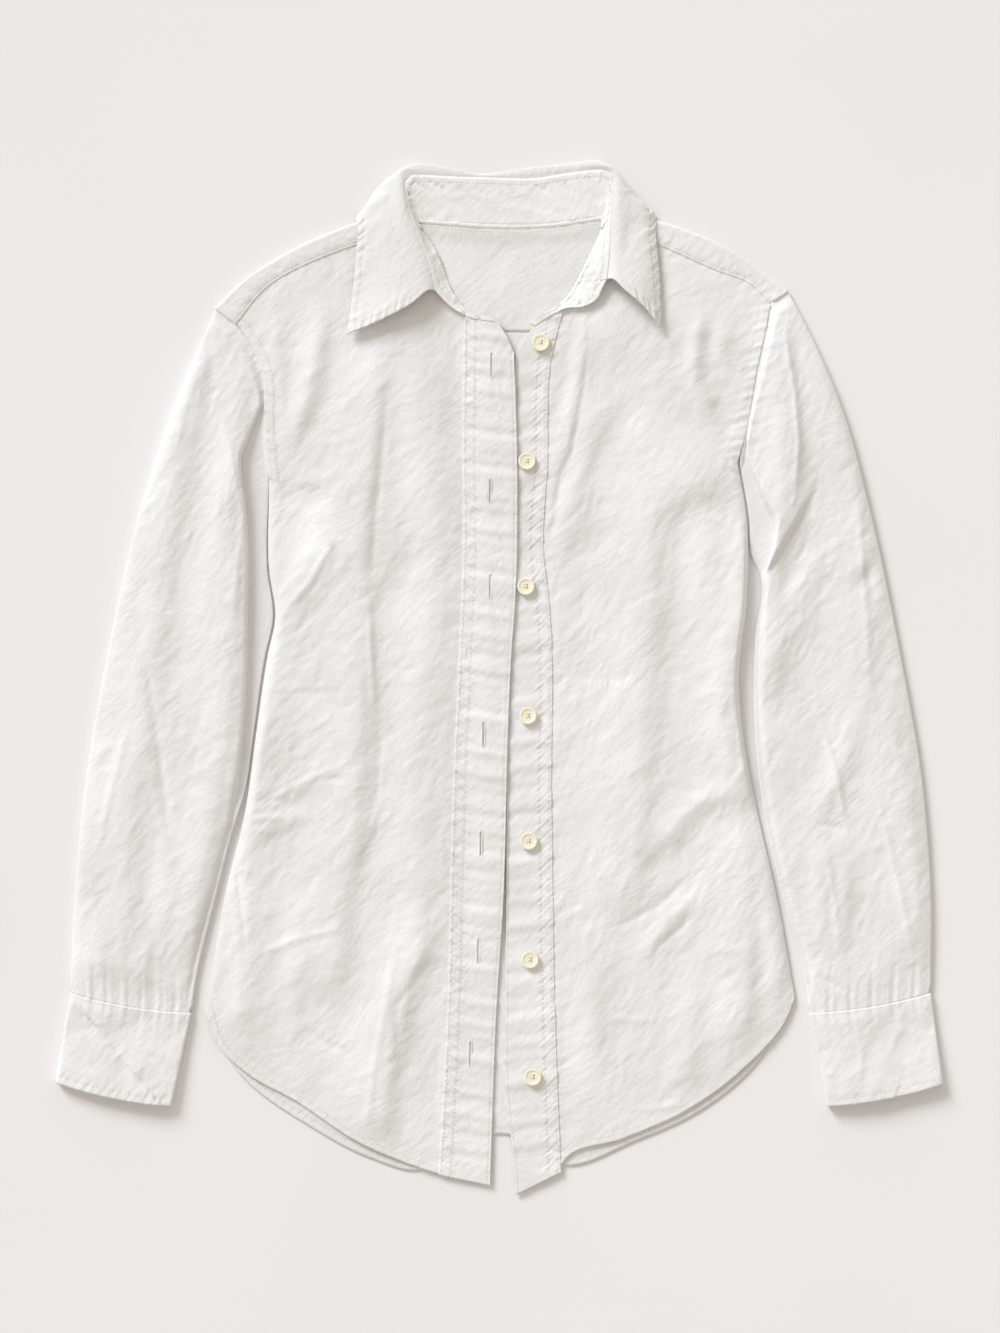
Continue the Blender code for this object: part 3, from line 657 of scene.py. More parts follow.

# creases listed one by one: height, half width, crispness, points
creases = {
    "right": [
        (-1.2, 2.2, 0.5, [(-84, 227), (-88, 170), (-93, 121), (-96, 81), (-98, 59)]),
        (1.6, 1.8, 0.8, [(-98, 59), (-96, 10), (-93, -32)]),
        (-1.2, 2.2, 0.5, [(-93, -30), (-88, -55), (-90, -90), (-96, -128)]),
        (1.3, 1.6, 0.8, [(-96, -45), (-87, -55), (-89, -87), (-98, -128)]),
        (1.4, 2.0, 0.6, [(-149, 133), (-126, 100), (-140, 75), (-165, 44)]),
        (-1.3, 2.0, 0.6, [(-191, -97), (-166, -84), (-142, -71), (-126, -66)]),
        (1.2, 1.6, 0.8, [(-189, -107), (-175, -104), (-161, -105)]),
        (-1.1, 2.0, 0.5, [(-183, -96), (-171, -91), (-159, -91)]),
        (-1.0, 2.0, 0.5, [(-142, -77), (-128, -75), (-116, -77)]),
        (-1.2, 1.8, 0.6, [(-198, -136), (-191, -196), (-191, -210)]),
        (1.2, 1.7, 0.8, [(-186, -210), (-159, -198), (-132, -190), (-117, -187)]),
        (-0.9, 1.6, 0.6, [(-149, -262), (-130, -274), (-110, -283)]),
        (1.0, 1.8, 0.5, [(-75, -189), (-86, -249), (-93, -286), (-101, -346)]),
        (-1.3, 2.4, 0.4, [(-45, -207), (-62, -225), (-77, -247), (-75, -286)]),
    ],
    "left": [
        (-1.2, 2.4, 0.4, [(70, 267), (63, 218), (55, 171), (47, 155), (39, 105), (36, 92)]),
        (-1.1, 1.7, 0.7, [(146, -145), (124, -167), (99, -182), (86, -188)]),
        (-1.1, 1.7, 0.7, [(146, -176), (136, -188), (120, -200), (113, -215)]),
        (0.8, 1.6, 0.7, [(79, -254), (100, -257), (120, -256)]),
        (0.8, 1.8, 0.6, [(101, -324), (122, -322), (143, -318)]),
        (-1.4, 4.0, 0.2, [(169, -16), (176, -42), (182, -69)]),
        (-1.8, 4.5, 0.1, [(154, 261), (162, 243), (169, 224)]),
        (-1.8, 4.5, 0.1, [(159, 209), (168, 196), (177, 183)]),
    ],
    "sleeve_right": [
        (1.0, 2.5, 0.4, [(-212, 216), (-200, 165), (-192, 121), (-201, 29)]),
        (-0.9, 3.0, 0.3, [(-221, 269), (-217, 240), (-213, 209)]),
        (-1.1, 2.6, 0.4, [(-267, 29), (-255, -54), (-246, -135)]),
        (0.9, 2.2, 0.5, [(-303, -135), (-290, -80), (-277, -30)]),
    ],
    "sleeve_left": [
        (2.0, 2.2, 0.6, [(213, 275), (216, 243), (221, 215), (224, 178), (222, 148), (218, 124)]),
        (1.0, 2.0, 0.6, [(267, 149), (274, 60), (278, -16)]),
        (-1.2, 2.5, 0.5, [(274, 85), (282, 59)]),
        (1.6, 2.0, 0.7, [(241, -30), (252, -70), (260, -111)]),
        (-1.1, 1.7, 0.7, [(237, -109), (249, -111), (260, -114)]),
        (1.0, 1.6, 0.7, [(243, -121), (250, -160), (255, -201)]),
        (1.0, 2.0, 0.6, [(283, -84), (298, -150), (312, -217)]),
        (-1.1, 2.0, 0.5, [(237, -222), (255, -232), (272, -240)]),
    ],
}


def foldHeight(x, y, base):
    # a base level with the main folds on it, kept softly above zero
    flatX, flatY = x.ravel(), y.ravel()
    total = np.full(flatX.shape, float(base))
    for height, rightWidth, leftWidth, points in mainFolds:
        crest = curveThrough(points)(np.linspace(0, 1, 3 * len(points) + 1))
        reach = layers["foldReach"] * max(rightWidth, leftWidth)
        low, high = crest.min(axis=0) - reach, crest.max(axis=0) + reach
        near = np.flatnonzero(
            (flatX > low[0]) & (flatX < high[0]) & (flatY > low[1]) & (flatY < high[1])
        )
        along, away, onLeft = alongAndAway(crest, flatX[near], flatY[near])
        length = np.linalg.norm(np.diff(crest, axis=0), axis=1).sum()
        taper = min(layers["foldTaper"], 0.4 * length)
        ends = ease(along / taper) * ease((length - along) / taper)
        width = np.where(onLeft, leftWidth, rightWidth)
        total[near] += layers["folds"] * height * ends * np.exp(-((away / width) ** 2) / 2)
    total = total.reshape(x.shape)
    return (total + np.sqrt(total * total + 1)) / 2


def toEdge(name, x, y):
    return alongAndAway(sampled(edges[name]), x, y)[1]


def frontUnder(x, y, side):
    # the underside of a front, with its folds, over the back and the other front's band
    rolled = roundness(toEdge(side + "Side", x, y) / layers["edgeRoll"][side])
    share = layers["hemShare"]
    hem = share + (1 - share) * ease(toEdge(side + "Hem", x, y) / layers["hemFall"])
    lifted = rolled * hem * foldHeight(x, y, layers["rise"])
    if side == "right":
        calm = 1 - 0.75 * ease((x + 45) / 25)
        over = layers["overBand"] * ease((x + 32) / 26) * ease((y + 230) / 60)
        return layers["backTop"] + calm * lifted + over
    return layers["backTop"] + ease((x - 22) / 36) * lifted


def clothDetail(x, y, setup, creaseRows):
    # long soft folds, slanting dry creases in patches, those listed and the scattered ones
    seed, slant = setup["seed"], setup["slant"]
    detail = setup["drape"] * smoothNoise(x, y, 21, seed, stretch=5.0, angle=setup["hang"])
    detail += setup["hills"] * smoothNoise(x, y, 30, seed + 1, stretch=1.5, angle=0.5)
    patches = ease(0.5 + 0.9 * smoothNoise(x, y, 46, seed + 2))
    crumple = ridges(x, y, 11, seed + 3, stretch=3.0, angle=slant)
    crumple += 0.5 * ridges(x, y, 10, seed + 4, stretch=2.6, angle=-slant)
    detail += setup["crumple"] * (0.3 + 0.7 * patches) * crumple
    detail += 0.17 * ridges(x, y, 6.5, seed + 5, stretch=2.6, angle=slant + 0.25)
    detail += creaseHeight(creaseRows, x, y)
    return detail + scatteredCreases(x, y, setup)


frontSetup = {
    "step": 2.15, "fineStep": 1.3, "across": 205, "length": 640,
    "hem": 6.5,           # width of the turned hem
    "topstitch": 7.5,     # from the armhole seam to its row of stitches
    "turned": 0.3,        # what the hem and the seam's allowance add to the height
    "groove": 0.22,       # how far stitches sink in
    "tuck": 2.5,          # how far it runs in under its band
    "underYoke": (0.6, 2.6),
    "flat": (0.24, 0.72), "area": 0.125,
    # how far from each seam the creases have their full height
    "calm": {"Hem": 16, "Side": 7, "Armhole": 9, "YokeSeam": 9, "BandSeam": 7},
    "puckers": {
        "Hem": {"depth": 0.28, "spacing": 7.0, "reach": 7, "slant": 0.9},
        "Armhole": {"spacing": 7.5, "reach": 11, "slant": 0.5, "awayFrom": 3},
        "YokeSeam": {"depth": 0.3, "spacing": 9.0, "reach": 12, "slant": 0.3},
        "BandSeam": {"depth": 0.32, "spacing": 13.0, "reach": 10, "slant": -0.4},
    },
    "right": {
        "seed": 11, "drape": 0.6, "hang": 0.06, "hills": 0.4, "crumple": 0.23, "slant": -0.95,
        "count": 420, "leans": (38, 50, 30, -50, 62), "spread": 10, "length": (10, 42),
        "width": (1.1, 2.3), "height": (0.12, 0.5),
        "armPucker": 0.3,
    },
    "left": {
        "seed": 31, "drape": 0.6, "hang": -0.05, "hills": 0.36, "crumple": 0.22, "slant": -0.75,
        "count": 440, "leans": (48, 58, 36, -48, 66), "spread": 10, "length": (10, 42),
        "width": (1.1, 2.3), "height": (0.12, 0.5),
        "armPucker": 0.65,
    },
}


def stitchGroove(away, at, width=0.75):
    return hill(away - at, width)


def frontGroove(hemAway, armAway):
    hemRow = stitchGroove(hemAway, frontSetup["hem"] - 1)
    return np.maximum(hemRow, stitchGroove(armAway, frontSetup["topstitch"]))


def seamPuckers(side, seam, x, y):
    # the waves along a front's seam, which the piece sewn over it follows
    own, order = frontSetup[side], list(frontSetup["puckers"])
    shape = {"depth": own["armPucker"], **frontSetup["puckers"][seam]}
    return puckers(sampled(edges[side + seam]), x, y, own["seed"] + 3 + order.index(seam), **shape)


def frontTop(x, y, side):
    away = {seam: toEdge(side + seam, x, y) for seam in frontSetup["calm"]}
    free = 1.0
    for seam, run in frontSetup["calm"].items():
        free = free * ease(away[seam] / run)
    detail = clothDetail(x, y, frontSetup[side], creases[side]) * (0.22 + 0.78 * free)
    for seam in frontSetup["puckers"]:
        detail += seamPuckers(side, seam, x, y)
    hemTurned = ease((frontSetup["hem"] - away["Hem"]) / 0.8)
    armTurned = ease((frontSetup["topstitch"] + 1 - away["Armhole"]) / 1.5) * ease(away["Armhole"] / 1.5)
    detail += frontSetup["turned"] * (hemTurned + armTurned)
    detail -= frontSetup["groove"] * frontGroove(away["Hem"], away["Armhole"])
    top = frontUnder(x, y, side) + layers["cloth"] + detail - layers["press"] * hill(away["Side"], 3)
    return np.maximum(top, layers["backTop"] - 0.45 + layers["cloth"])


def gradedShares(length, step, fineStep, fineStart, fineEnd):
    # places along a length, closer together near its ends
    position, places = 0.0, [0.0]
    while position < length - 0.5 * fineStep:
        near = position < fineStart or position > length - fineEnd
        position += fineStep if near else step
        places.append(position)
    return np.array(places) / places[-1]


def gridOver(place, us, vs):
    spots = place(*np.meshgrid(us, vs))
    return spots[..., 0], spots[..., 1]


def flatMapOf(x, y):
    # lengths along the cloth from its middle column and its first row, so that the weave follows it
    stepX = np.hypot(np.diff(x, axis=1), np.diff(y, axis=1))
    stepY = np.hypot(np.diff(x, axis=0), np.diff(y, axis=0))
    across = np.concatenate([np.zeros((len(x), 1)), np.cumsum(stepX, axis=1)], axis=1)
    across -= across[:, across.shape[1] // 2][:, None]
    along = np.concatenate([np.zeros((1, x.shape[1])), np.cumsum(stepY, axis=0)], axis=0)
    along = np.broadcast_to(along.mean(axis=1)[:, None], x.shape)
    return np.stack([across, along], axis=-1)


backSetup = {
    "step": 4.6, "fineStep": 2.4, "across": 400, "length": 640, "fine": 16,
    "topRight": (-198.5, 261), "topLeft": (203, 261),
    "sideShare": 0.78,    # of each flank that lies below the armhole
    "hem": 5.5, "groove": 0.1, "waves": 0.12,
    "flat": (0.45, 0.66), "area": 0.262,
}


def makeBack():
    setup = backSetup
    flanks = [
        joined(edges[side], straight(edgeLines[side][-1], setup[top]), setup["sideShare"])
        for side, top in (("rightSide", "topRight"), ("leftSide", "topLeft"))
    ]
    place = patchOf(edges["backHem"], straight(setup["topRight"], setup["topLeft"]), *flanks)
    us = gradedShares(setup["across"], setup["step"], setup["fineStep"], setup["fine"], setup["fine"])
    vs = gradedShares(setup["length"], setup["step"], setup["fineStep"], setup["fine"], setup["fine"] / 4)
    x, y = gridOver(place, us, vs)
    hemAway = toEdge("backHem", x, y)
    groove = stitchGroove(hemAway, setup["hem"], 1.2)
    z = layers["cloth"] + setup["waves"] * (1 + smoothNoise(x, y, 26, 5) * ease(hemAway / 10))
    points = np.stack([x, y, z - setup["groove"] * groove], axis=-1)
    # the hem's stitch groove also gets painted shade
    back = makeCloth("back_cloth", points, layers["cloth"], flatMapOf(x, y), "back", 0.3 * groove)


def endingAt(edge, place):
    # the same edge, drawn over at its end
    def at(share):
        share = np.asarray(share, float)
        return edge(share) + (place - edge(1.0)) * ease((share - 0.9) / 0.1)[..., None]

    return at


def makeFront(side, sign):
    # it runs on a little way under its band and its yoke
    setup = frontSetup
    lapX, lapY = setup["underYoke"]
    yokeSeam = shifted(edges[side + "YokeSeam"], sign * lapX, lapY)
    bandSeam = shifted(edges[side + "BandSeam"], -sign * setup["tuck"])
    neckline = edges[side + "Neckline"]
    flank = joined(edges[side + "Side"], edges[side + "Armhole"], 0.76)
    if side == "right":
        top, left, right = joined(yokeSeam, neckline, 0.64), endingAt(flank, yokeSeam(0.0)), bandSeam
    else:
        top, left, right = joined(neckline, yokeSeam, 0.37), bandSeam, endingAt(flank, yokeSeam(1.0))
    us = gradedShares(setup["across"], setup["step"], setup["fineStep"], 9, 9)
    vs = gradedShares(setup["length"], setup["step"], setup["fineStep"], 10, 10)
    x, y = gridOver(patchOf(edges[side + "Hem"], top, left, right), us, vs)
    # painted shade in the stitch grooves of the hem and the armhole
    groove = 0.35 * frontGroove(toEdge(side + "Hem", x, y), toEdge(side + "Armhole", x, y))
    points = np.stack([x, y, frontTop(x, y, side)], axis=-1)
    name = "front_" + side
    front = makeCloth(name + "_cloth", points, layers["cloth"], flatMapOf(x, y), name, groove)


makeBack()
for side, sign in (("right", -1), ("left", 1)):
    makeFront(side, sign)
say("back and fronts")


# front bands, with their slits for the buttons
bandSetup = {
    "rows": (1.5, 8.6),    # the two rows of stitches beside the seam
    "edgeRow": 1.9,        # the row along the free edge
    "step": 0.2,           # up from the front to the band
    "lap": 0.4,            # over its seam
    "length": 520,         # in grid rows
    "ripple": 0.6,
    "flat": (0.04, 0.66),
    "scattered": {
        "count": 90, "leans": (8, -12, 40, -45), "spread": 12, "length": (8, 26), "width": (1.0, 1.9),
        "height": (0.08, 0.3),
    },
    "right": {
        "name": "placket_buttonhole", "seed": 51, "spacing": 21, "pucker": 0.6, "area": 0.0255,
        "columns": ((11, 0.8), (14, 1.5), (22.6, 0.42), (35, 1.6), (39, 0.65)),
    },
    "left": {
        "name": "placket_button", "seed": 61, "spacing": 24, "pucker": 0.42, "area": 0.022,
        "columns": ((4, 0.65), (24, 1.6), (35, 0.8)),
    },
}
buttonholes = {
    "length": 17.0, "slit": 0.42, "welt": 1.5, "away": 1.0, "lean": 0.02,
    "sunk": 0.95, "raised": 0.22,
    "places": [(-6, 235), (-7, 141), (-7, 69), (-12, -42), (-14, -124), (-16, -204), (-22, -282)],
}


def stepsThrough(stretches):
    # shares of a width, from stretches of (end, step)
    places = [0.0]
    for end, step in stretches:
        start = places[-1]
        count = max(1, round((end - start) / step))
        places += [start + (end - start) * (i + 1) / count for i in range(count)]
    return np.array(places) / places[-1]


def slitDepth(x, y):
    # (depth of the slits, height of the stitched welts round them), as shares
    slit, welt = np.zeros(x.shape), np.zeros(x.shape)
    for centreX, centreY in buttonholes["places"]:
        over = np.maximum(np.abs(y - centreY) - buttonholes["length"] / 2, 0)
        away = np.hypot(x - centreX - buttonholes["lean"] * (y - centreY), over)
        slit = np.maximum(slit, np.exp(-((away / buttonholes["slit"]) ** 4)))
        welt = np.maximum(welt, np.exp(-((away / buttonholes["welt"]) ** 4)))
    return slit, welt


def bandGroove(seamAway, edgeAway):
    rows = [stitchGroove(seamAway, row, 0.6) for row in bandSetup["rows"]]
    return np.maximum(np.maximum(*rows), stitchGroove(edgeAway, bandSetup["edgeRow"], 0.6))


def bandTop(x, y, side):
    # waves across the band, puckers at its rows of stitches, creases, grooves and slits
    setup = bandSetup[side]
    seed = setup["seed"]
    along, seamAway = alongAndAway(sampled(edges[side + "BandSeam"]), x, y)[:2]
    edgeAway = toEdge(side + "BandEdge", x, y)
    detail = bandSetup["ripple"] * ripples(along + 0.12 * seamAway, setup["spacing"], seed)
    detail *= 0.55 + 0.45 * ease(seamAway / 8) - 0.3 * ease((seamAway - 30) / 8)
    for number, row in enumerate(bandSetup["rows"]):
        waves = ripples(along + 0.8 * seamAway, 4.4, seed + number)
        detail += setup["pucker"] * hill(seamAway - row, 3.4) * waves
    detail += 0.16 * hill(edgeAway, 3.5) * ripples(along, 9, seed + 4)
    detail += 0.13 * ridges(x, y, 12, seed + 5, stretch=0.7)
    detail += scatteredCreases(x, y, {**bandSetup["scattered"], "seed": seed + 6})
    detail -= 0.25 * bandGroove(seamAway, edgeAway)
    if side == "right":
        slit, welt = slitDepth(x, y)
        detail = detail * (1 - 0.6 * welt) + buttonholes["raised"] * welt - buttonholes["sunk"] * slit
    top = frontUnder(x, y, side) + layers["band"] + seamPuckers(side, "BandSeam", x, y) + detail
    overFront = frontTop(x, y, side) + bandSetup["step"] * (1 - ease((seamAway - 2.6) / 2))
    return np.where(seamAway < 5, np.maximum(top, overFront), top)


def makeBand(side, sign):
    setup = bandSetup[side]
    seam, edge = shifted(edges[side + "BandSeam"], sign * bandSetup["lap"]), edges[side + "BandEdge"]
    left, right = (seam, edge) if side == "right" else (edge, seam)
    place = patchOf(straight(left(0.0), right(0.0)), edges[side + "BandTop"], left, right)
    rows = np.linspace(0, 1, bandSetup["length"] + 1)
    x, y = gridOver(place, stepsThrough(setup["columns"]), rows)
    # painted shade in the stitch grooves, and full painted shade in the buttonhole slits
    groove = 0.3 * bandGroove(toEdge(side + "BandSeam", x, y), toEdge(side + "BandEdge", x, y))
    if side == "right":
        groove = np.maximum(groove, slitDepth(x, y)[0])
    points = np.stack([x, y, bandTop(x, y, side)], axis=-1)
    name = setup["name"]
    band = makeCloth(name + "_cloth", points, layers["band"], flatMapOf(x, y), name, groove)


for side, sign in (("right", -1), ("left", 1)):
    makeBand(side, sign)
say("front bands")


# yoke: one sheet from the back seam over each shoulder to the front seams
yokeSetup = {
    "backSeam": 260.2, "corner": -198.5, "width": 401.5,
    "innerRows": 27, "foldRows": 8, "topRows": 14,    # inside, round the fold, and over the front
    "turn": 2.1,          # radius of its fold
    "underStand": 3.0,
    "clear": 0.12,
    "lap": (0.7, -1),     # over the fronts
    "neckRise": 2.2, "neckRun": 15, "step": 0.2, "row": 1.7, "neckRow": 1.6, "seed": 71,
    "scattered": {
        "seed": 74, "count": 60, "leans": (80, 60, 110, 15), "spread": 12, "length": (10, 34),
        "width": (1.2, 2.4), "height": (0.1, 0.4),
    },
}
# its stretches: name, edge that it folds over, edge where it ends, where they start and end on the back seam
yokeStretches = (
    ("right", "rightShoulder", "rightYokeSeam", 0, 6 / 21),
    ("neck", "neckSeam", "neckSeam", 7 / 21, 14 / 21),
    ("left", "leftShoulder", "leftYokeSeam", 15 / 21, 1),
)


def stationRun(groups):
    # joins groups of stations with a few even steps between one and the next
    run = groups[0]
    for group in groups[1:]:
        gap = np.linspace(0, 1, 6)[1:-1, None]
        run = np.concatenate([run, run[-1] + (group[0] - run[-1]) * gap, group])
    return run


def yokeStations():
    # columns: x y of the fold, x y of the end, place on the back seam, whether on a shoulder, end's height
    setup, share = yokeSetup, np.linspace(0, 1, 75)
    groups = []
    for name, foldEdge, endEdge, first, last in yokeStretches:
        fold, end = edges[foldEdge](share), edges[endEdge](share)
        shoulder, height = np.zeros(len(share)), np.full(len(share), 0.15)
        if name != "neck":
            sign = -1 if name == "right" else 1
            end = end + np.array([-sign * setup["lap"][0], setup["lap"][1]])
            shoulder = shoulder + 1
            height = frontUnder(end[:, 0], end[:, 1], name) + 2 * layers["cloth"] + setup["clear"]
            height += seamPuckers(name, "YokeSeam", end[:, 0], end[:, 1])
        start = first + (last - first) * share
        groups.append(np.column_stack([fold, end, start, shoulder, height]))
    return stationRun(groups)


def yokeRows():
    # inside from the back seam, round the fold, and then down over the front or under the stand
    setup, stations = yokeSetup, yokeStations()
    fold, end, start = stations[:, 0:2], stations[:, 2:4], stations[:, 4]
    shoulder, height = stations[:, 5], stations[:, 6]
    startAt = np.column_stack([
        setup["corner"] + setup["width"] * start, np.full(len(start), setup["backSeam"]),
    ])
    way = (fold - startAt) / np.linalg.norm(fold - startAt, axis=1)[:, None]
    centre = fold - way * setup["turn"]
    rows = [
        np.column_stack([startAt + (centre - startAt) * t, np.zeros(len(start))])
        for t in np.linspace(0, 1, setup["innerRows"])
    ]
    for t in np.linspace(0, 1, setup["foldRows"] + 1)[1:]:
        swung = math.pi * shoulder * t
        away = setup["turn"] * (np.sin(swung) + t * (1 - shoulder))
        rows.append(np.column_stack([centre + way * away[:, None], setup["turn"] * (1 - np.cos(swung))]))
    last = rows[-1]
    for t in np.linspace(0, 1, setup["topRows"] + 1)[1:]:
        underStand = way * (setup["underStand"] * t * (1 - shoulder))[:, None]
        point = last[:, :2] + (end - last[:, :2]) * t * shoulder[:, None] + underStand
        rows.append(np.column_stack([point, last[:, 2] + (height - last[:, 2]) * t]))
    return np.array(rows), shoulder


def makeYoke():
    setup = yokeSetup
    points, shoulder = yokeRows()
    x, y = points[..., 0], points[..., 1]
    row, inside = np.arange(len(points))[:, None], setup["innerRows"]
    toNeck = toEdge("neckSeam", x, y)
    points[..., 2] += setup["neckRise"] * ease(1 - toNeck / setup["neckRun"]) * (1 - shoulder)
    points[:inside, :, 2] += 0.25 * ease(1 - (y[:inside] - setup["backSeam"]) / 7)
    # creases of the inner face, strongest inside the neck
    crumple = 0.28 * (1 + smoothNoise(x, y, 21, setup["seed"]))
    crumple += 0.18 * (1 + ridges(x, y, 15, setup["seed"] + 2))
    crumple += 0.5 * np.abs(scatteredCreases(x, y, setup["scattered"]))
    neckOpen = ease((60 - np.abs(x - 8)) / 20) * ease((y - 262) / 8)
    points[..., 2] += crumple * ease((inside - row) / 6) * (0.2 + 0.8 * neckOpen)
    # puckers and stitches of the face that shows, and its edge on the fronts
    front = ease((row - inside - setup["foldRows"]) / 5) * shoulder
    for side in ("right", "left"):
        along, away = alongAndAway(sampled(edges[side + "YokeSeam"]), x, y)[:2]
        points[..., 2] += front * 0.28 * hill(away - 4, 6) * ripples(along, 8, setup["seed"] + 4)
        points[..., 2] -= front * 0.2 * stitchGroove(away, setup["row"])
    points[..., 2] += front * 0.22 * ridges(x, y, 14, setup["seed"] + 5)
    for side in ("right", "left"):
        away = toEdge(side + "YokeSeam", x, y)
        overFront = frontTop(x, y, side) + setup["step"]
        lying = np.maximum(np.minimum(points[..., 2], overFront + 0.25 * away), overFront)
        points[..., 2] = np.where((away < 4) & (front > 0.5), lying, points[..., 2])
    yoke = makeCloth("yoke_cloth", points, layers["cloth"], flatMapOf(x, y), "yoke", offset=1.0)


makeYoke()
say("yoke")


# collar sections: x y z of where the leaf leaves the stand, of its roll, its middle, its turn, its edge
collarSections = [
    (-47, 290, 8.5, -50, 291, 11, -66, 280, 15, -91, 267, 13.5, -114, 258, 9),
    (-51.5, 312, 8.5, -56, 311, 10.8, -72, 305, 12.4, -93, 295, 10.4, -110, 289, 6.8),
    (-59.5, 334, 8.5, -64, 333, 10.6, -78, 331, 11.4, -95, 326, 9.6, -107, 322, 6.8),
    (-66.5, 351, 8.3, -69, 351, 10.4, -82, 349, 10.8, -96, 344, 9, -106, 338, 6.8),
    (-69, 362, 8.2, -71, 363, 10.2, -83, 361, 10.2, -99, 354, 7.4, -106.5, 347.5, 2.8),
    (-69.5, 371, 7.6, -73, 374, 9.6, -82, 373, 9.2, -92, 367, 4.8, -86, 352, 0),
    (-66, 376, 6.8, -71, 381.5, 8.2, -75, 381, 7.4, -77, 377, 3.8, -68, 353, 0),
    (-56, 376.5, 5.4, -60, 383, 6.4, -61, 386, 5.8, -61, 384, 2.8, -56, 345, 0),
    (-37, 375.5, 4.8, -37, 379.5, 5.6, -37, 383, 5.2, -37, 380, 2, -38, 342, 0),
    (-10, 375, 4.6, -10, 376, 5.4, -10, 378.5, 5, -10, 375, 2, -10, 340.5, 0),
    (24, 374, 4.8, 24, 380, 5.6, 24, 383, 5.2, 24, 380, 2, 24, 340, 0),
    (52, 378, 5.4, 52, 383, 6.4, 52, 386, 5.8, 52, 383, 2, 50, 342, 0),
    (74, 380, 7.4, 73, 385, 9, 74, 388, 8.2, 75, 385, 3, 70, 348, 0),
    (83, 377, 8.6, 86, 381, 10.8, 89, 379, 9.8, 91, 374, 4.6, 84, 352, 0),
    (84, 365, 9, 89, 366, 11.6, 96, 365, 10.8, 104, 359, 5.4, 98, 352, 0.5),
    (83, 350, 9.3, 88, 351, 11.6, 98, 352, 11, 112, 350, 7.6, 116, 350, 3),
    (82, 334, 9.4, 88, 334, 11.6, 98, 333, 11.2, 112, 331, 9, 117.5, 331, 6.4),
    (81.5, 316, 9.4, 87, 315, 12, 97, 311, 12.6, 112, 305, 10.6, 120, 303, 7.2),
    (80, 299, 9.2, 84, 299, 13, 93, 291, 16, 110, 276, 14, 122, 260, 8.6),
]
# stand sections: x y z of its neck seam and of its top
standSections = [
    (2, 265.6, 5, 0, 267.6, 5.2),
    (-12, 271.5, 5, -13, 269, 5.3),
    (-24, 276, 5, -27, 272.8, 5.7),
    (-32, 285, 4.9, -38, 279.5, 6.8),
    (-37, 293, 4.9, -45.5, 289.5, 8.2),
    (-47, 318, 4.9, -50.5, 312, 8.2),
    (-56, 333, 4.8, -58.6, 333.5, 8.2),
    (-61.5, 342, 3.6, -65, 350, 8),
    (-58, 342.2, 2.2, -66.5, 364, 7.6),
    (-50, 341.2, 2.25, -62, 373.2, 5.8),
    (-37, 340.2, 2.25, -41, 374.6, 4.6),
    (-10, 338.2, 2.25, -11, 374.1, 4.4),
    (24, 338, 2.25, 24, 373.1, 4.5),
    (50, 340.2, 2.25, 52, 377.1, 5.4),
    (68, 343.2, 2.25, 76, 377.8, 7.2),
    (76.5, 344, 2.8, 82, 369, 8.6),
    (77, 338, 4.4, 82, 350, 9),
    (73, 328, 4.9, 81, 334, 9),
    (65, 310.5, 4.9, 80.4, 316, 9),
    (58, 297, 4.9, 78.8, 299.5, 8.8),
    (53, 289, 4.9, 74, 285, 8),
    (49, 284, 4.9, 63, 278.5, 6.6),
    (44, 280, 5, 50, 277.2, 5.6),
    (34, 274.5, 5, 36, 271.2, 5.3),
    (24, 266.6, 5, 26.5, 264.6, 5.2),
]
collarSetup = {
    "columns": 270, "rows": 70, "wall": 1.1,
    "row": 5.2,           # from its border to its stitches
    "leafFrom": 0.22,     # the share of the way from the stand where its roll gives way to the leaf
    "clear": 0.35,        # over the fronts
    "frontTop": 338,      # the fronts lie under it below this y
    "stitched": 6,        # the stitches run where the leaf is higher than this
    "seed": 81,
    "scattered": {
        "seed": 84, "count": 90, "leans": (70, 95, 30, -30), "spread": 14, "length": (8, 30),
        "width": (1.0, 2.0), "height": (0.1, 0.4),
    },
}
standSetup = {
    "columns": 260, "wall": 1.1, "seed": 91,
    "seamRows": (0, 0.017, 0.034, 0.05, 0.075, 0.1), "rows": 16, "rowsFrom": 0.145,
    "frontTop": 337,
    "row": 5.0,           # from its top to the stitches there
    "seamRow": 5,         # the grid row that the seam's stitches follow, and how far up that is
    "seamStitch": 3.0,
    "cord": {"height": 0.5, "at": 1.1, "width": 0.7},    # the seam's corded edge
    "groove": 0.22,
    "sunk": 0.6,          # its underside, below the top of what it is sewn to
    "lap": 1.0,           # over the leaf's foot
    "lapDepth": 0.25,
}
seamLines = {}      # rows of stitches that the pieces below keep for the sewing


def sides(x, middle=0):
    return (("right", x < middle), ("left", x >= middle))


def collarRows(points, toStart, toEnd, toOuter):
    # places of the stitches that run round the leaf, a fixed distance from its border
    row, height = collarSetup["row"], collarSetup["stitched"]
    columns = [np.abs(away - row).argmin(axis=1) for away in (toStart, toEnd)]
    ends = [
        [points[i, j] for i, j in enumerate(column) if i > 12 and toOuter[i, j] > row] for column in columns
    ]
    outer = [
        points[i, j] for j, i in enumerate(np.abs(toOuter - row).argmin(axis=0))
        if min(toStart[i, j], toEnd[i, j]) > row and points[i, j, 2] > height
    ]
    # the outer row breaks off at the back, where the leaf turns under
    gap = np.linalg.norm(np.diff(np.array(outer), axis=0), axis=1).argmax() + 1
    return [np.array(line) for line in (*ends, outer[:gap], outer[gap:])]


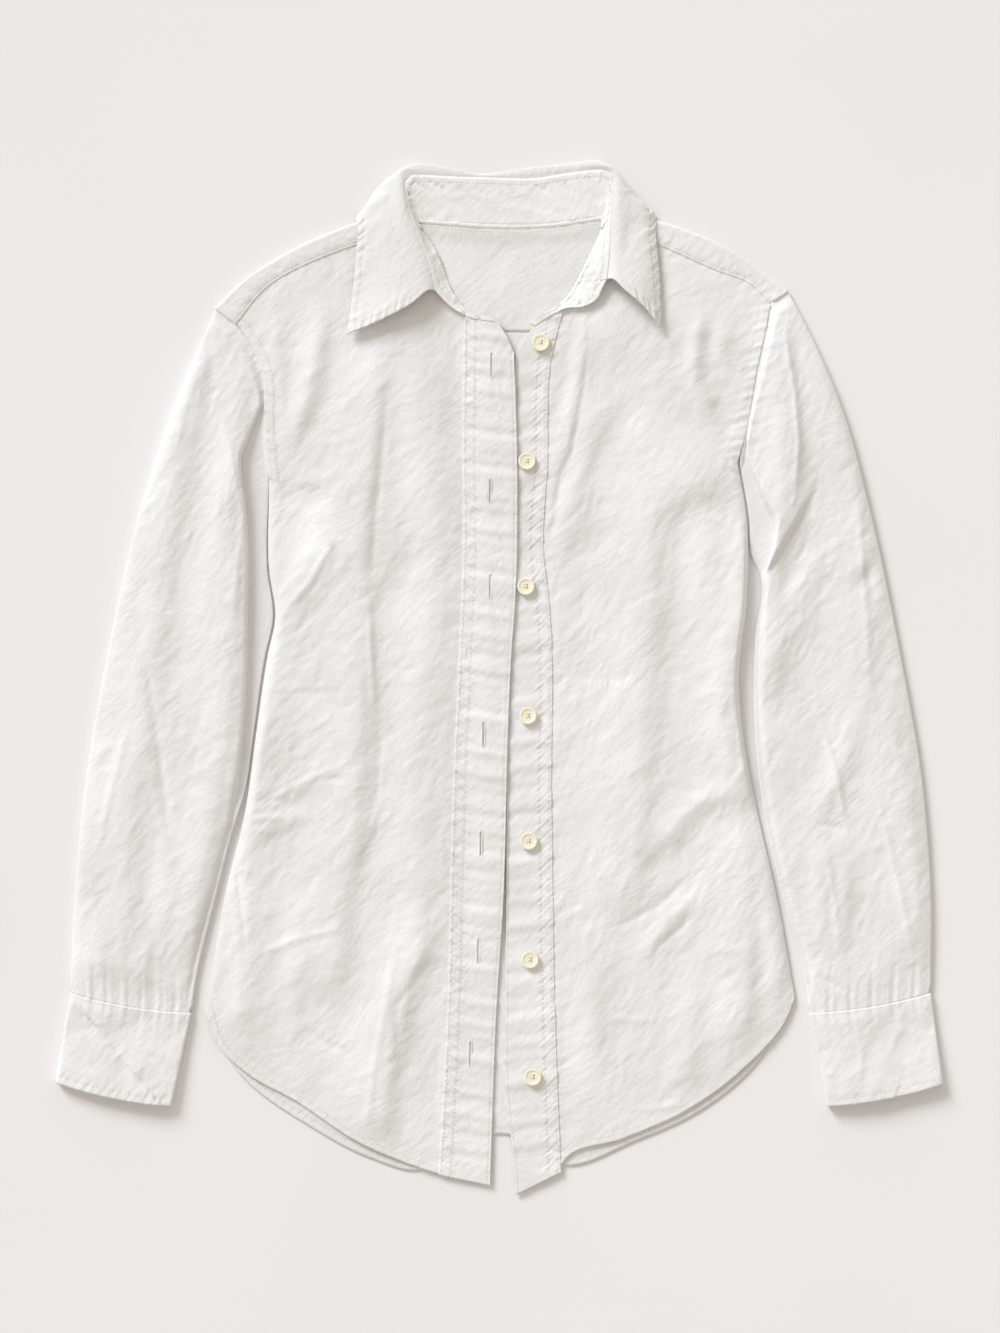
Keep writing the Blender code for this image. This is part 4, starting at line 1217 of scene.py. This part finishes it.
def makeCollar():
    setup, seed = collarSetup, collarSetup["seed"]
    shares = np.linspace(0, 1, setup["columns"] + 1)
    sections = smoothRows(collarSections, shares).reshape(len(shares), 5, 3)
    rowShares = np.linspace(0, 1, setup["rows"] + 1)
    points = np.stack([curveThrough(section)(rowShares) for section in sections], axis=1)
    x, y = points[..., 0], points[..., 1]
    lowest = np.zeros(x.shape)
    for side, chosen in sides(x):
        lying = chosen & (y < setup["frontTop"])
        lowest[lying] = frontTop(x[lying], y[lying], side) + setup["wall"] + setup["clear"]
    points[..., 2] = np.maximum(points[..., 2], lowest)
    toOuter = walked(points[::-1], 0)[::-1]
    toStart, toEnd = walked(points, 1), walked(points[:, ::-1], 1)[:, ::-1]
    toBorder = np.minimum(np.minimum(toOuter, toStart), toEnd)
    alongBorder = np.where(toOuter < np.minimum(toStart, toEnd), toStart, toOuter)
    leaf = ease((rowShares[:, None] - setup["leafFrom"]) / 0.2)
    detail = 0.7 * hill(toBorder - 3.2, 4.5) * ripples(alongBorder, 6.5, seed)
    detail += 0.4 * smoothNoise(x, y, 24, seed + 1) * ease(toBorder / 9)
    detail += 0.3 * ridges(x, y, 12, seed + 2, stretch=2.0, angle=-0.8) * ease(toBorder / 8)
    detail += scatteredCreases(x, y, setup["scattered"]) * ease(toBorder / 5)
    groove = stitchGroove(toBorder, setup["row"], 0.7)
    points = points + outward(points) * (leaf * (detail - 0.25 * groove))[..., None]
    points[..., 2] = np.maximum(points[..., 2], lowest)
    seamLines["collar"] = collarRows(points, toStart, toEnd, toOuter)
    flatMap = np.stack([walked(points, 1), walked(points, 0)], axis=-1)
    # its stitch groove also gets painted shade
    collar = makeCloth("collar_cloth", points, setup["wall"], flatMap, "collar", 0.3 * groove * leaf)


def standPoints():
    # from the neck seam, which lies on the fronts, up to the foot of the leaf
    setup = standSetup
    shares = np.linspace(0, 1, setup["columns"] + 1)
    sections = smoothRows(standSections, shares).reshape(len(shares), 2, 3)
    neck, top = sections[:, 0], sections[:, 1]
    for side, chosen in sides(neck[:, 0]):
        lying = chosen & (neck[:, 1] < setup["frontTop"])
        neck[lying, 2] = frontTop(neck[lying, 0], neck[lying, 1], side) - setup["sunk"]
    up = np.concatenate([setup["seamRows"], np.linspace(setup["rowsFrom"], 1, setup["rows"])])[:, None, None]
    sideways = outward(neck + (top - neck) * up)[-1]
    leaf = smoothRows([row[:6] for row in collarSections], np.linspace(0, 1, 500))
    foot, way = leaf[:, :3], leaf[:, 3:] - leaf[:, :3]
    foot = foot + setup["lap"] * way / np.linalg.norm(way, axis=1)[:, None]
    for i, point in enumerate(top):
        gaps = np.linalg.norm(foot - point, axis=1)
        nearest = foot[gaps.argmin()] - (setup["wall"] - setup["lapDepth"]) * sideways[i]
        top[i] = point + (nearest - point) * ease((10 - gaps.min()) / 3)
    return neck + (top - neck) * up


def makeStand():
    setup, seed = standSetup, standSetup["seed"]
    points = standPoints()
    onBand = ease((points[..., 0] + 29) / 3) * ease((47 - points[..., 0]) / 3)
    onBand = onBand * ease((292 - points[..., 1]) / 6)
    around, up = walked(points, 1), walked(points, 0)
    down = up[-1] - up
    wide = ease((up[-1] - 10) / 12)
    detail = (0.15 + 0.75 * wide) * hill(down - setup["row"], 5) * ripples(around + 0.3 * up, 7.5, seed + 1)
    detail += 0.14 * hill(up, 3) * ripples(around, 7, seed + 2)
    detail += (0.1 + 0.2 * wide) * ridges(around, up, 10, seed + 3)
    detail = detail * ease(down / 3.5)      # its top stays on the leaf's foot
    cord = setup["cord"]
    detail += cord["height"] * wide * (hill(up - cord["at"], cord["width"]) - 1 + ease(up / 1.3))
    groove = np.maximum(
        stitchGroove(down, setup["row"], 0.7), 0.5 * stitchGroove(up, setup["seamStitch"], 0.6),
    )
    points = points + outward(points) * ((detail - setup["groove"] * groove) * (1 - onBand))[..., None]
    for side, chosen in sides(points[..., 0], 15):
        band = bandTop(points[..., 0], points[..., 1], side) - setup["sunk"]
        points[..., 2] += np.where(chosen, onBand * (band - points[..., 2]), 0)
    face = points + setup["wall"] * outward(points)
    topRows = np.maximum(np.abs(down - setup["row"]).argmin(axis=0), 3)
    columns = [j for j in range(len(topRows)) if up[-1, j] > setup["row"] + 3]
    seamLines["collar_stand"] = [
        np.array([face[topRows[j], j] for j in columns]), face[setup["seamRow"], 12:-12],
    ]
    flatMap = np.stack([around, up], axis=-1)
    # its stitch grooves also get painted shade
    stand = makeCloth(
        "collar_stand_cloth", points, setup["wall"], flatMap, "collar_stand", 0.3 * groove, offset=1.0,
        # the lighter cotton paints light on the stand's inner face
        look=standLitCotton,
    )


makeCollar()
makeStand()
say("collar")


# sleeves: flattened tubes whose top layer folds under along the body
sleeveSetup = {
    "length": 545.0, "step": 2.3, "fineStep": 1.5,
    "upper": 66, "terrace": 8, "under": 30,    # columns of its top layer, beside the fold, and below
    "wall": 0.7,
    "edge": 3.6, "edgeRun": 1.2,    # height and reach of its rounded edges
    "rise": 2.0, "roll": 13,        # its middle over its edge, and how far that takes
    "fold": 3.5, "foldRun": 1.0, "foldRoll": 6,
    "terraceDrop": 1.7,
    "tuck": 2.5,          # how far it runs in under the front and the yoke
    "backTuck": 1.3,
    "capReach": 0.3,      # the share of its length that its cap draws along
    "underYoke": 3.6,     # height of its top there
    "inCuff": 2.0,        # how far it runs into the cuff
    "toCuff": 30,         # and where it starts to come down to it
    "seamStep": 0.3,
    "squeeze": 1.4, "lift": 1.3,    # to stay clear of the cuff's sides and its underside
    "gather": 0.3, "gathers": 8.5,
    "flat": (0.40, 0.56), "area": 0.125,
    "right": {
        "seed": 111, "drape": 0.42, "hang": -0.2, "hills": 0.36, "crumple": 0.17, "slant": -0.8,
        "count": 330, "leans": (48, 60, 38, -55, 76), "spread": 10, "length": (10, 40),
        "width": (1.1, 2.3), "height": (0.12, 0.5), "pucker": 0.3,
    },
    "left": {
        "seed": 131, "drape": 0.36, "hang": 0.2, "hills": 0.3, "crumple": 0.16, "slant": -0.7,
        "count": 330, "leans": (52, 64, 40, -52, 80), "spread": 10, "length": (10, 40),
        "width": (1.1, 2.3), "height": (0.12, 0.5), "pucker": 0.5,
    },
}
cuffSetup = {
    "depth": 69.0, "wall": 1.1, "rows": 50, "top": 64, "under": 26,
    "edge": 4.4, "lowEdge": 6.6, "edgeRun": 1.1, "swell": 1.6,
    "sag": 3.0,           # how far its seam bows down in the middle
    "gather": 0.55,
    "seamRow": 2.0, "lowRow": 6.0,    # from its edges to its stitches
    "pressed": 0.45,      # its seamed edge lies this much lower
    "flat": (0.19, 0.07), "area": 0.0133,
    "scattered": {
        "count": 45, "leans": (90, 70, 10, 110), "spread": 14, "length": (8, 34), "width": (1.6, 2.8),
        "height": (0.1, 0.5),
    },
    "right": {
        "topOuter": (-322, -236), "topInner": (-231, -251), "lowOuter": (-333, -303),
        "lowInner": (-246, -321), "seed": 151, "hang": 0.7,
    },
    "left": {
        "topOuter": (324, -236), "topInner": (232, -251), "lowOuter": (333, -304),
        "lowInner": (246, -321), "seed": 161, "hang": -0.5,
    },
}
edgeTurn = np.radians([-60, -30, 0, 30, 60])


def roundedEdges(ring, edge, z, low=0.0):
    # a flattened tube's outer and inner edges, from its underside at low up to its top
    back = edgeTurn[::-1]
    outer = ring(edge * (1 - np.cos(edgeTurn)), low + (z[:, :1] - low) * (1 + np.sin(edgeTurn)) / 2)
    inner = ring(1 - edge * (1 - np.cos(back)), low + (z[:, -1:] - low) * (1 + np.sin(back)) / 2)
    return outer, inner


def closedTube(sign, *parts):
    # turned round on the right, so that its faces point outwards
    rings = np.concatenate([*parts, parts[0][:, :1]], axis=1)
    return rings[:, ::-1] if sign < 0 else rings


def makeTube(name, rings, lengthAlong, setup, grooveShade=None):
    flatMap = np.stack([walked(rings, 1), np.broadcast_to(lengthAlong, rings.shape[:2])], axis=-1)
    tube = makeCloth(name + "_cloth", rings, setup["wall"], flatMap, name, grooveShade, closed=True)


def makeSleeve(side, sign):
    setup, own = sleeveSetup, sleeveSetup[side]
    outer, inner = edges[side + "SleeveOuter"], edges[side + "SleeveInner"]
    capFront = shifted(edges[side + "CapFront"], -sign * setup["tuck"])
    capBack = shifted(edges[side + "CapBack"], -sign * setup["backTuck"])
    foldLine = sampled(edges[side + "SleeveFold"])
    length = setup["length"]
    along = gradedShares(length, setup["step"], setup["fineStep"], 12, 30)[:, None]
    width = np.linalg.norm(inner(along[:, 0]) - outer(along[:, 0]), axis=1)[:, None]

    def spot(share, cap=capFront):
        # a place that share of the way over the sleeve, drawn to its cap and its cuff at the ends
        base = outer(along) + (inner(along) - outer(along)) * share[..., None]
        ends = outer(0.0) + (inner(0.0) - outer(0.0)) * share[..., None]
        base = base + (cap(share) - ends) * (np.maximum(1 - along / setup["capReach"], 0) ** 2)[..., None]
        sag = 4 * cuffSetup["sag"] * share * (1 - share) * ease(along / 0.12 - 7.33)
        return np.stack([base[..., 0], base[..., 1] - sag], axis=-1)

    # where the fold line crosses each ring
    trial = np.broadcast_to(np.linspace(0.55, 0.98, 200), (len(along), 200))
    at = spot(trial)
    foldX = np.interp(-at[..., 1], -foldLine[:, 1], foldLine[:, 0])
    passed = sign * (at[..., 0] - foldX) < 0
    first = np.where(passed.any(axis=1), passed.argmax(axis=1), 199)
    edge, foldRun = setup["edgeRun"] / width, setup["foldRun"] / width
    lastUpper = np.minimum(trial[0][first][:, None], 1 - edge - 2 * foldRun)

    start = lastUpper + foldRun
    share = np.concatenate([
        edge + (lastUpper - edge) * np.linspace(0, 1, setup["upper"] + 1),
        start + (1 - edge - start) * np.linspace(0, 1, setup["terrace"]),
    ], axis=1)
    across, toFold = share * width, (lastUpper - share) * width
    x, y = np.moveaxis(spot(share), -1, 0)
    fromCap, fromCuff = along * length, (1 - along) * length

    rise = foldHeight(x, y, setup["rise"]) * roundness(across / setup["roll"])
    folded = ease(((1 - lastUpper) * width - 4.5) / 5)
    over = setup["fold"] * ease(along / 0.12) * ease((1 - along) / 0.12) * ease((share - 0.3) / 0.3) * folded
    nearFold = roundness(toFold / setup["foldRoll"])
    nearFold = nearFold + 0.7 * folded * (1 - nearFold)
    detail = clothDetail(x, y, own, creases["sleeve_" + side])
    detail *= ease(fromCap / 14) * (0.6 + 0.4 * ease(fromCuff / 20)) * (0.25 + 0.75 * ease(across / 8))
    armhole = sampled(edges[side + "Armhole"])
    detail += puckers(armhole, x, y, own["seed"] + 5, own["pucker"], 8.0, 12, slant=-0.5, awayFrom=2)
    gathers = ripples(across, setup["gathers"], cuffSetup[side]["seed"])
    detail += setup["gather"] * np.exp(-((fromCuff / 30) ** 1.3)) * gathers * ease(across / 5)
    isUpper = share <= lastUpper + 1e-9
    z = setup["edge"] + np.where(isUpper, (over + rise) * nearFold, -setup["terraceDrop"] * folded)
    z += np.where(isUpper, detail * (0.3 + 0.7 * roundness(toFold / 6)), 0.3 * detail)

    # its cap slips in under the front and between the yoke's two layers
    underYoke = ease(1 - (share - 0.1) / 0.2)
    under = setup["underYoke"] * underYoke + (frontTop(x, y, side) - setup["seamStep"]) * (1 - underYoke)
    z = under + (z - under) * ease((fromCap - setup["tuck"]) / 8)
    cuffTop = cuffSetup["edge"] + cuffSetup["swell"] * roundness(4 * share * (1 - share))
    cuffTop += cuffSetup["gather"] * gathers * ease(across / 4) - cuffSetup["pressed"] - setup["seamStep"]
    z = cuffTop + (z - cuffTop) * ease((fromCuff - setup["inCuff"]) / setup["toCuff"])

    def ring(shares, heights, cap=capFront):
        ends = spot(shares, cap)
        ends[..., 0] -= setup["squeeze"] * (1 - ease((fromCuff - 1) / 5)) * (1 - 2 * shares) * sign
        return np.stack([ends[..., 0], ends[..., 1], heights], axis=-1)

    lift = setup["lift"] * ease(1 - (fromCuff - 1) / 3)
    below = (1 - edge) + (2 * edge - 1) * np.linspace(0, 1, setup["under"] + 1)
    outerEdge, innerEdge = roundedEdges(ring, edge, z, lift)
    rings = closedTube(sign, outerEdge, ring(share, z), innerEdge, ring(below, lift + 0 * below, capBack))
    rings[..., 1] -= setup["inCuff"] * ease(1 - fromCuff / 3)
    makeTube("sleeve_" + side, rings, fromCap, setup)


def makeCuff(side, sign):
    setup, own, seed = cuffSetup, cuffSetup[side], cuffSetup[side]["seed"]
    outer, inner = straight(own["topOuter"], own["lowOuter"]), straight(own["topInner"], own["lowInner"])
    along = np.linspace(0, 1, setup["rows"] + 1)[:, None]
    width = np.linalg.norm(inner(along[:, 0]) - outer(along[:, 0]), axis=1)[:, None]
    depth, edge = setup["depth"], setup["edgeRun"] / width
    top = edge + (1 - 2 * edge) * np.linspace(0, 1, setup["top"] + 1)
    below = (1 - edge) + (2 * edge - 1) * np.linspace(0, 1, setup["under"] + 1)

    def ring(shares, heights):
        ends = outer(along) + (inner(along) - outer(along)) * shares[..., None]
        y = ends[..., 1] - 4 * setup["sag"] * shares * (1 - shares)
        return np.stack([ends[..., 0], y, heights + 0 * shares], axis=-1)

    across, down = np.broadcast_arrays(top * width, along * depth)
    gathers = setup["gather"] * np.exp(-((down / 11) ** 1.3)) * ripples(across, sleeveSetup["gathers"], seed)
    detail = 0.4 * hill(depth - down - 5, 5) * ripples(across + 0.5 * down, 6.5, seed + 1)
    detail += 1.25 * smoothNoise(across, down, 24, seed + 2, stretch=1.6, angle=own["hang"])
    detail += 0.28 * ridges(across, down, 12, seed + 3, stretch=1.8, angle=own["hang"])
    detail += scatteredCreases(across, down, {**setup["scattered"], "seed": seed + 4})
    detail = gathers + detail * ease(down / 9)
    groove = np.maximum(
        stitchGroove(down, setup["seamRow"], 0.7), stitchGroove(depth - down, setup["lowRow"], 0.7),
    )
    roll = ease(across / 4) * ease((width - across) / 4)
    z = setup["edge"] + (setup["lowEdge"] - setup["edge"]) * ease((down - 15) / (depth - 15))
    z = z + setup["swell"] * roundness(4 * top * (1 - top)) + (detail - 0.25 * groove) * roll
    z = z - setup["pressed"] * (1 - ease(down / 1.8))
    upperFace = ring(top, z)
    stitched = (setup["seamRow"], depth - setup["lowRow"])
    seamLines["cuff_" + side] = [upperFace[round(at / depth * setup["rows"]), 3:-3] for at in stitched]
    outerEdge, innerEdge = roundedEdges(ring, edge, z)
    rings = closedTube(sign, outerEdge, upperFace, innerEdge, ring(below, 0 * below))
    plain = (len(edgeTurn), len(edgeTurn) + below.shape[1])
    # painted shade in the cuff's stitch grooves, none on its edges and underside
    grooveShade = closedTube(sign, np.pad(0.3 * groove * roll, ((0, 0), plain)))
    makeTube("cuff_" + side, rings, along * depth, setup, grooveShade)


for side, sign in (("right", -1), ("left", 1)):
    makeSleeve(side, sign)
    makeCuff(side, sign)
say("sleeves and cuffs")


# thread: a row of stitches is one small stitch, repeated and bent along the seam
stitches = {
    "height": 0.4,
    "lift": 0.06,
    "seam": {"spacing": 3.1, "length": 2.3, "width": 0.5},
    "buttonhole": {"spacing": 0.8, "length": 0.42, "width": 1.5},
    "button": {"spacing": 2.4, "length": 3.7, "width": 0.85},
}
threadLook = {
    "dark": (0.85, 0.83, 0.79), "light": (0.92, 0.905, 0.87), "patches": 90, "roughness": 0.62, "sheen": 0.15,
    "twists": 500, "twist": 0.0001,
}


def makeThread(name, look):
    # twisted cotton with a faint sheen
    thread, tree, shader = newLook(name)
    place = addNode(tree, "ShaderNodeTexCoord").outputs["Object"]
    colour = blendColours(tree, noiseAt(tree, place, look["patches"]), look)
    tree.links.new(colour, shader.inputs["Base Color"])
    twist = addNode(
        tree, "ShaderNodeTexWave", {"Vector": place}, bands_direction="DIAGONAL", Scale=look["twists"],
    ).outputs["Fac"]
    tree.links.new(addBump(tree, twist, look["twist"], 0.5), shader.inputs["Normal"])
    shader.inputs["Roughness"].default_value = look["roughness"]
    shader.inputs["Sheen Weight"].default_value = look["sheen"]
    return thread


cottonThread = makeThread("cotton_thread", threadLook)


def laidOn(piece, line):
    # the line's places on the piece, as seen from above
    places = []
    for x, y in line:
        hit, place, normal, face = piece.ray_cast((x * mm, y * mm, 0.06), (0, 0, -1))
        if hit:
            places.append(tuple(place))
    return np.array(places) / mm + (0, 0, stitches["lift"])


def besideLine(name, distance, start=0.0, end=1.0):
    # a line that far to the left of an edge's run, or to the right where negative
    line = edges[name](np.linspace(start, end, 150))
    run = np.gradient(line, axis=0)
    left = np.stack([-run[:, 1], run[:, 0]], axis=1)
    return line + distance * left / np.linalg.norm(left, axis=1)[:, None]


def guideAlong(line):
    path = bpy.data.curves.new("stitch_path", "CURVE")
    path.dimensions = "3D"
    path.twist_mode = "Z_UP"
    spline = path.splines.new("POLY")
    spline.points.add(len(line) - 1)
    spline.points.foreach_set("co", np.column_stack([line * mm, np.ones(len(line))]).ravel())
    guide = bpy.data.objects.new("stitch_path", path)
    bpy.context.collection.objects.link(guide)
    return guide


def sewRow(line, stitch):
    run = np.linalg.norm(np.diff(line, axis=0), axis=1).sum()
    step = stitch["spacing"] * mm
    guide = guideAlong(line)
    bpy.ops.object.select_all(action="DESELECT")
    bpy.ops.mesh.primitive_ico_sphere_add(subdivisions=1, radius=0.5 * mm, location=(step / 2, 0, 0))
    row = bpy.context.object
    row.scale = (stitch["length"], stitch["width"], stitches["height"])
    bpy.ops.object.transform_apply(location=True, rotation=False, scale=True)
    bpy.ops.object.modifier_add(type="ARRAY")
    repeat = row.modifiers[-1]
    repeat.count = max(1, int(run / stitch["spacing"]))
    repeat.use_relative_offset = False
    repeat.use_constant_offset = True
    repeat.constant_offset_displace = (step, 0, 0)
    bpy.ops.object.modifier_apply(modifier=repeat.name)
    bpy.ops.object.modifier_add(type="CURVE")
    bend = row.modifiers[-1]
    bend.object = guide
    bpy.ops.object.modifier_apply(modifier=bend.name)
    bpy.data.objects.remove(guide)
    return row


def sewPiece(name, lines, stitch):
    rows = [sewRow(line, stitch) for line in lines if len(line) > 1]
    bpy.ops.object.select_all(action="DESELECT")
    for row in rows:
        row.select_set(True)
    bpy.context.view_layer.objects.active = rows[0]
    if len(rows) > 1:
        bpy.ops.object.join()
    piece = bpy.context.object
    piece.name = piece.data.name = name
    bpy.ops.object.shade_smooth()
    piece.data.materials.append(cottonThread)
    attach(piece, "root")


# rows to sew: piece, edge, distance to the left of its run, start and end as shares of it
sewnRows = []
for side, sign in (("right", -1), ("left", 1)):
    sewnRows += [
        ("front_" + side, side + "Hem", frontSetup["hem"] - 1, 0, 1),
        ("front_" + side, side + "Armhole", sign * frontSetup["topstitch"], 0.02, 0.93),
    ]
for side, sign, bandEnd in (("right", -1, 0.985), ("left", 1, 0.975)):
    band = bandSetup[side]["name"]
    sewnRows += [(band, side + "BandSeam", sign * row, 0.01, bandEnd) for row in bandSetup["rows"]]
    sewnRows.append((band, side + "BandEdge", -sign * bandSetup["edgeRow"], 0.01, 0.97))
sewnRows += [
    ("yoke", "rightYokeSeam", yokeSetup["row"], 0.03, 0.97),
    ("yoke", "leftYokeSeam", yokeSetup["row"], 0.03, 0.97),
    ("yoke", "neckSeam", -yokeSetup["neckRow"], 0.03, 0.97),
    ("back", "backHem", backSetup["hem"], 0.1, 0.9),
]


def sewPanels():
    for name in dict.fromkeys(row[0] for row in sewnRows):
        cloth = bpy.data.objects[name + "_cloth"]
        lines = [besideLine(*row[1:]) for row in sewnRows if row[0] == name]
        sewPiece(name + "_stitches", [laidOn(cloth, line) for line in lines], stitches["seam"])
    for name, lines in seamLines.items():
        raised = [line + (0, 0, stitches["lift"]) for line in lines]
        sewPiece(name + "_stitches", raised, stitches["seam"])


def sewButtonholes():
    # close stitches over the edge of each slit, square to it
    cloth = bpy.data.objects["placket_buttonhole_cloth"]
    half, away = buttonholes["length"] / 2, buttonholes["away"]
    turn = np.linspace(0, 2 * math.pi, 61)
    loop = np.column_stack([away * np.sin(turn), away * np.cos(turn) + half * np.sign(np.cos(turn))])
    loops = [laidOn(cloth, loop + place) for place in buttonholes["places"]]
    sewPiece("buttonhole_stitches", loops, stitches["buttonhole"])


sewPanels()
sewButtonholes()
say("stitches")


# buttons, turned with a dished middle, a rim and four holes, and sewn on with crossed thread
buttonSetup = {
    "count": 7, "radius": 6.5, "rim": 1.5, "slope": 0.7, "dish": 0.5, "round": 0.35,
    "hole": 0.6, "holeAt": 1.45,
    "crossing": 0.828,    # half a thread's reach each way, as a share of how far out the holes are
    "threadRise": 0.05,
}
resinLook = {
    "dark": (0.90, 0.82, 0.61), "light": (0.965, 0.915, 0.74), "roughness": (0.24, 0.4),
    "grain": 160, "grainTurn": 0.5, "grainLength": 4, "grainDepth": 0.0001, "scuffs": 500,
    "coat": 0.2, "glow": 0.1, "glowDepth": 0.002,
}


def makeResin(name, look):
    # cream resin with a faint grain running across it
    resin, tree, shader = newLook(name)
    place = addNode(tree, "ShaderNodeTexCoord").outputs["Object"]
    drawn = addNode(
        tree, "ShaderNodeMapping", {"Vector": place}, Rotation=(0, 0, look["grainTurn"]),
        Scale=(1, look["grainLength"], 1),
    )
    grain = noiseAt(tree, drawn.outputs["Vector"], look["grain"], 3.0)
    tree.links.new(blendColours(tree, grain, look), shader.inputs["Base Color"])
    roughen(tree, shader, noiseAt(tree, place, look["scuffs"]), *look["roughness"])
    tree.links.new(addBump(tree, grain, look["grainDepth"], 0.3), shader.inputs["Normal"])
    shader.inputs["Coat Weight"].default_value = look["coat"]
    shader.inputs["Subsurface Weight"].default_value = look["glow"]
    shader.inputs["Subsurface Scale"].default_value = look["glowDepth"]
    return resin


def modelButton(depth):
    setup = buttonSetup
    bpy.ops.object.select_all(action="DESELECT")
    bpy.ops.mesh.primitive_cylinder_add(
        vertices=48, radius=setup["radius"] * mm, depth=depth, location=(0, 0, depth / 2),
    )
    button = bpy.context.object
    bpy.ops.object.transform_apply(location=True, rotation=False, scale=False)
    bpy.ops.object.mode_set(mode="EDIT")
    bpy.ops.mesh.select_all(action="DESELECT")
    bpy.ops.object.mode_set(mode="OBJECT")
    for face in button.data.polygons:
        face.select = face.normal.z > 0.9
    bpy.ops.object.mode_set(mode="EDIT")
    bpy.ops.mesh.select_mode(type="FACE")
    bpy.ops.mesh.inset(thickness=setup["rim"] * mm)
    bpy.ops.mesh.inset(thickness=setup["slope"] * mm)
    bpy.ops.transform.translate(value=(0, 0, -setup["dish"] * mm))
    bpy.ops.object.mode_set(mode="OBJECT")
    bpy.ops.object.modifier_add(type="BEVEL")
    soften = button.modifiers[-1]
    soften.width = setup["round"] * mm
    soften.segments = 2
    soften.limit_method = "ANGLE"
    bpy.ops.object.modifier_apply(modifier=soften.name)
    for quarter in range(4):
        angle = math.radians(45 + 90 * quarter)
        away = setup["holeAt"] * mm
        bpy.ops.mesh.primitive_cylinder_add(
            vertices=14, radius=setup["hole"] * mm, depth=depth * 3,
            location=(away * math.cos(angle), away * math.sin(angle), 0),
        )
        cutter = bpy.context.object
        bpy.ops.object.select_all(action="DESELECT")
        bpy.context.view_layer.objects.active = button
        button.select_set(True)
        bpy.ops.object.modifier_add(type="BOOLEAN")
        hole = button.modifiers[-1]
        hole.operation = "DIFFERENCE"
        hole.object = cutter
        bpy.ops.object.modifier_apply(modifier=hole.name)
        bpy.data.objects.remove(cutter)
    bpy.ops.object.shade_smooth_by_angle(angle=math.radians(35))
    button.data.materials.append(makeResin("cream_resin", resinLook))
    return button


def makeButtons():
    setup = buttonSetup
    low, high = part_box("button_1")
    first = modelButton(high.z - low.z)
    crossings = []
    for number in range(1, setup["count"] + 1):
        node = "button_" + str(number)
        low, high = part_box(node)
        bpy.ops.object.select_all(action="DESELECT")
        first.select_set(True)
        bpy.context.view_layer.objects.active = first
        bpy.ops.object.duplicate(linked=False)
        button = bpy.context.object
        button.name = button.data.name = node + "_resin"
        middle = (low + high) / 2
        button.location = (middle.x, middle.y, low.z)
        bpy.ops.object.transform_apply(location=True, rotation=False, scale=False)
        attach(button, "root")
        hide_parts(node)
        at, top = setup["holeAt"] * setup["crossing"], high.z / mm - setup["dish"] + setup["threadRise"]
        centre = np.array([middle.x / mm, middle.y / mm, top])
        for lean in (-at, at):
            crossings.append(centre + np.array([(-at, -lean, 0), (at, lean, 0)]))
    bpy.data.objects.remove(first)
    sewPiece("button_threads", crossings, stitches["button"])


makeButtons()
say("buttons")
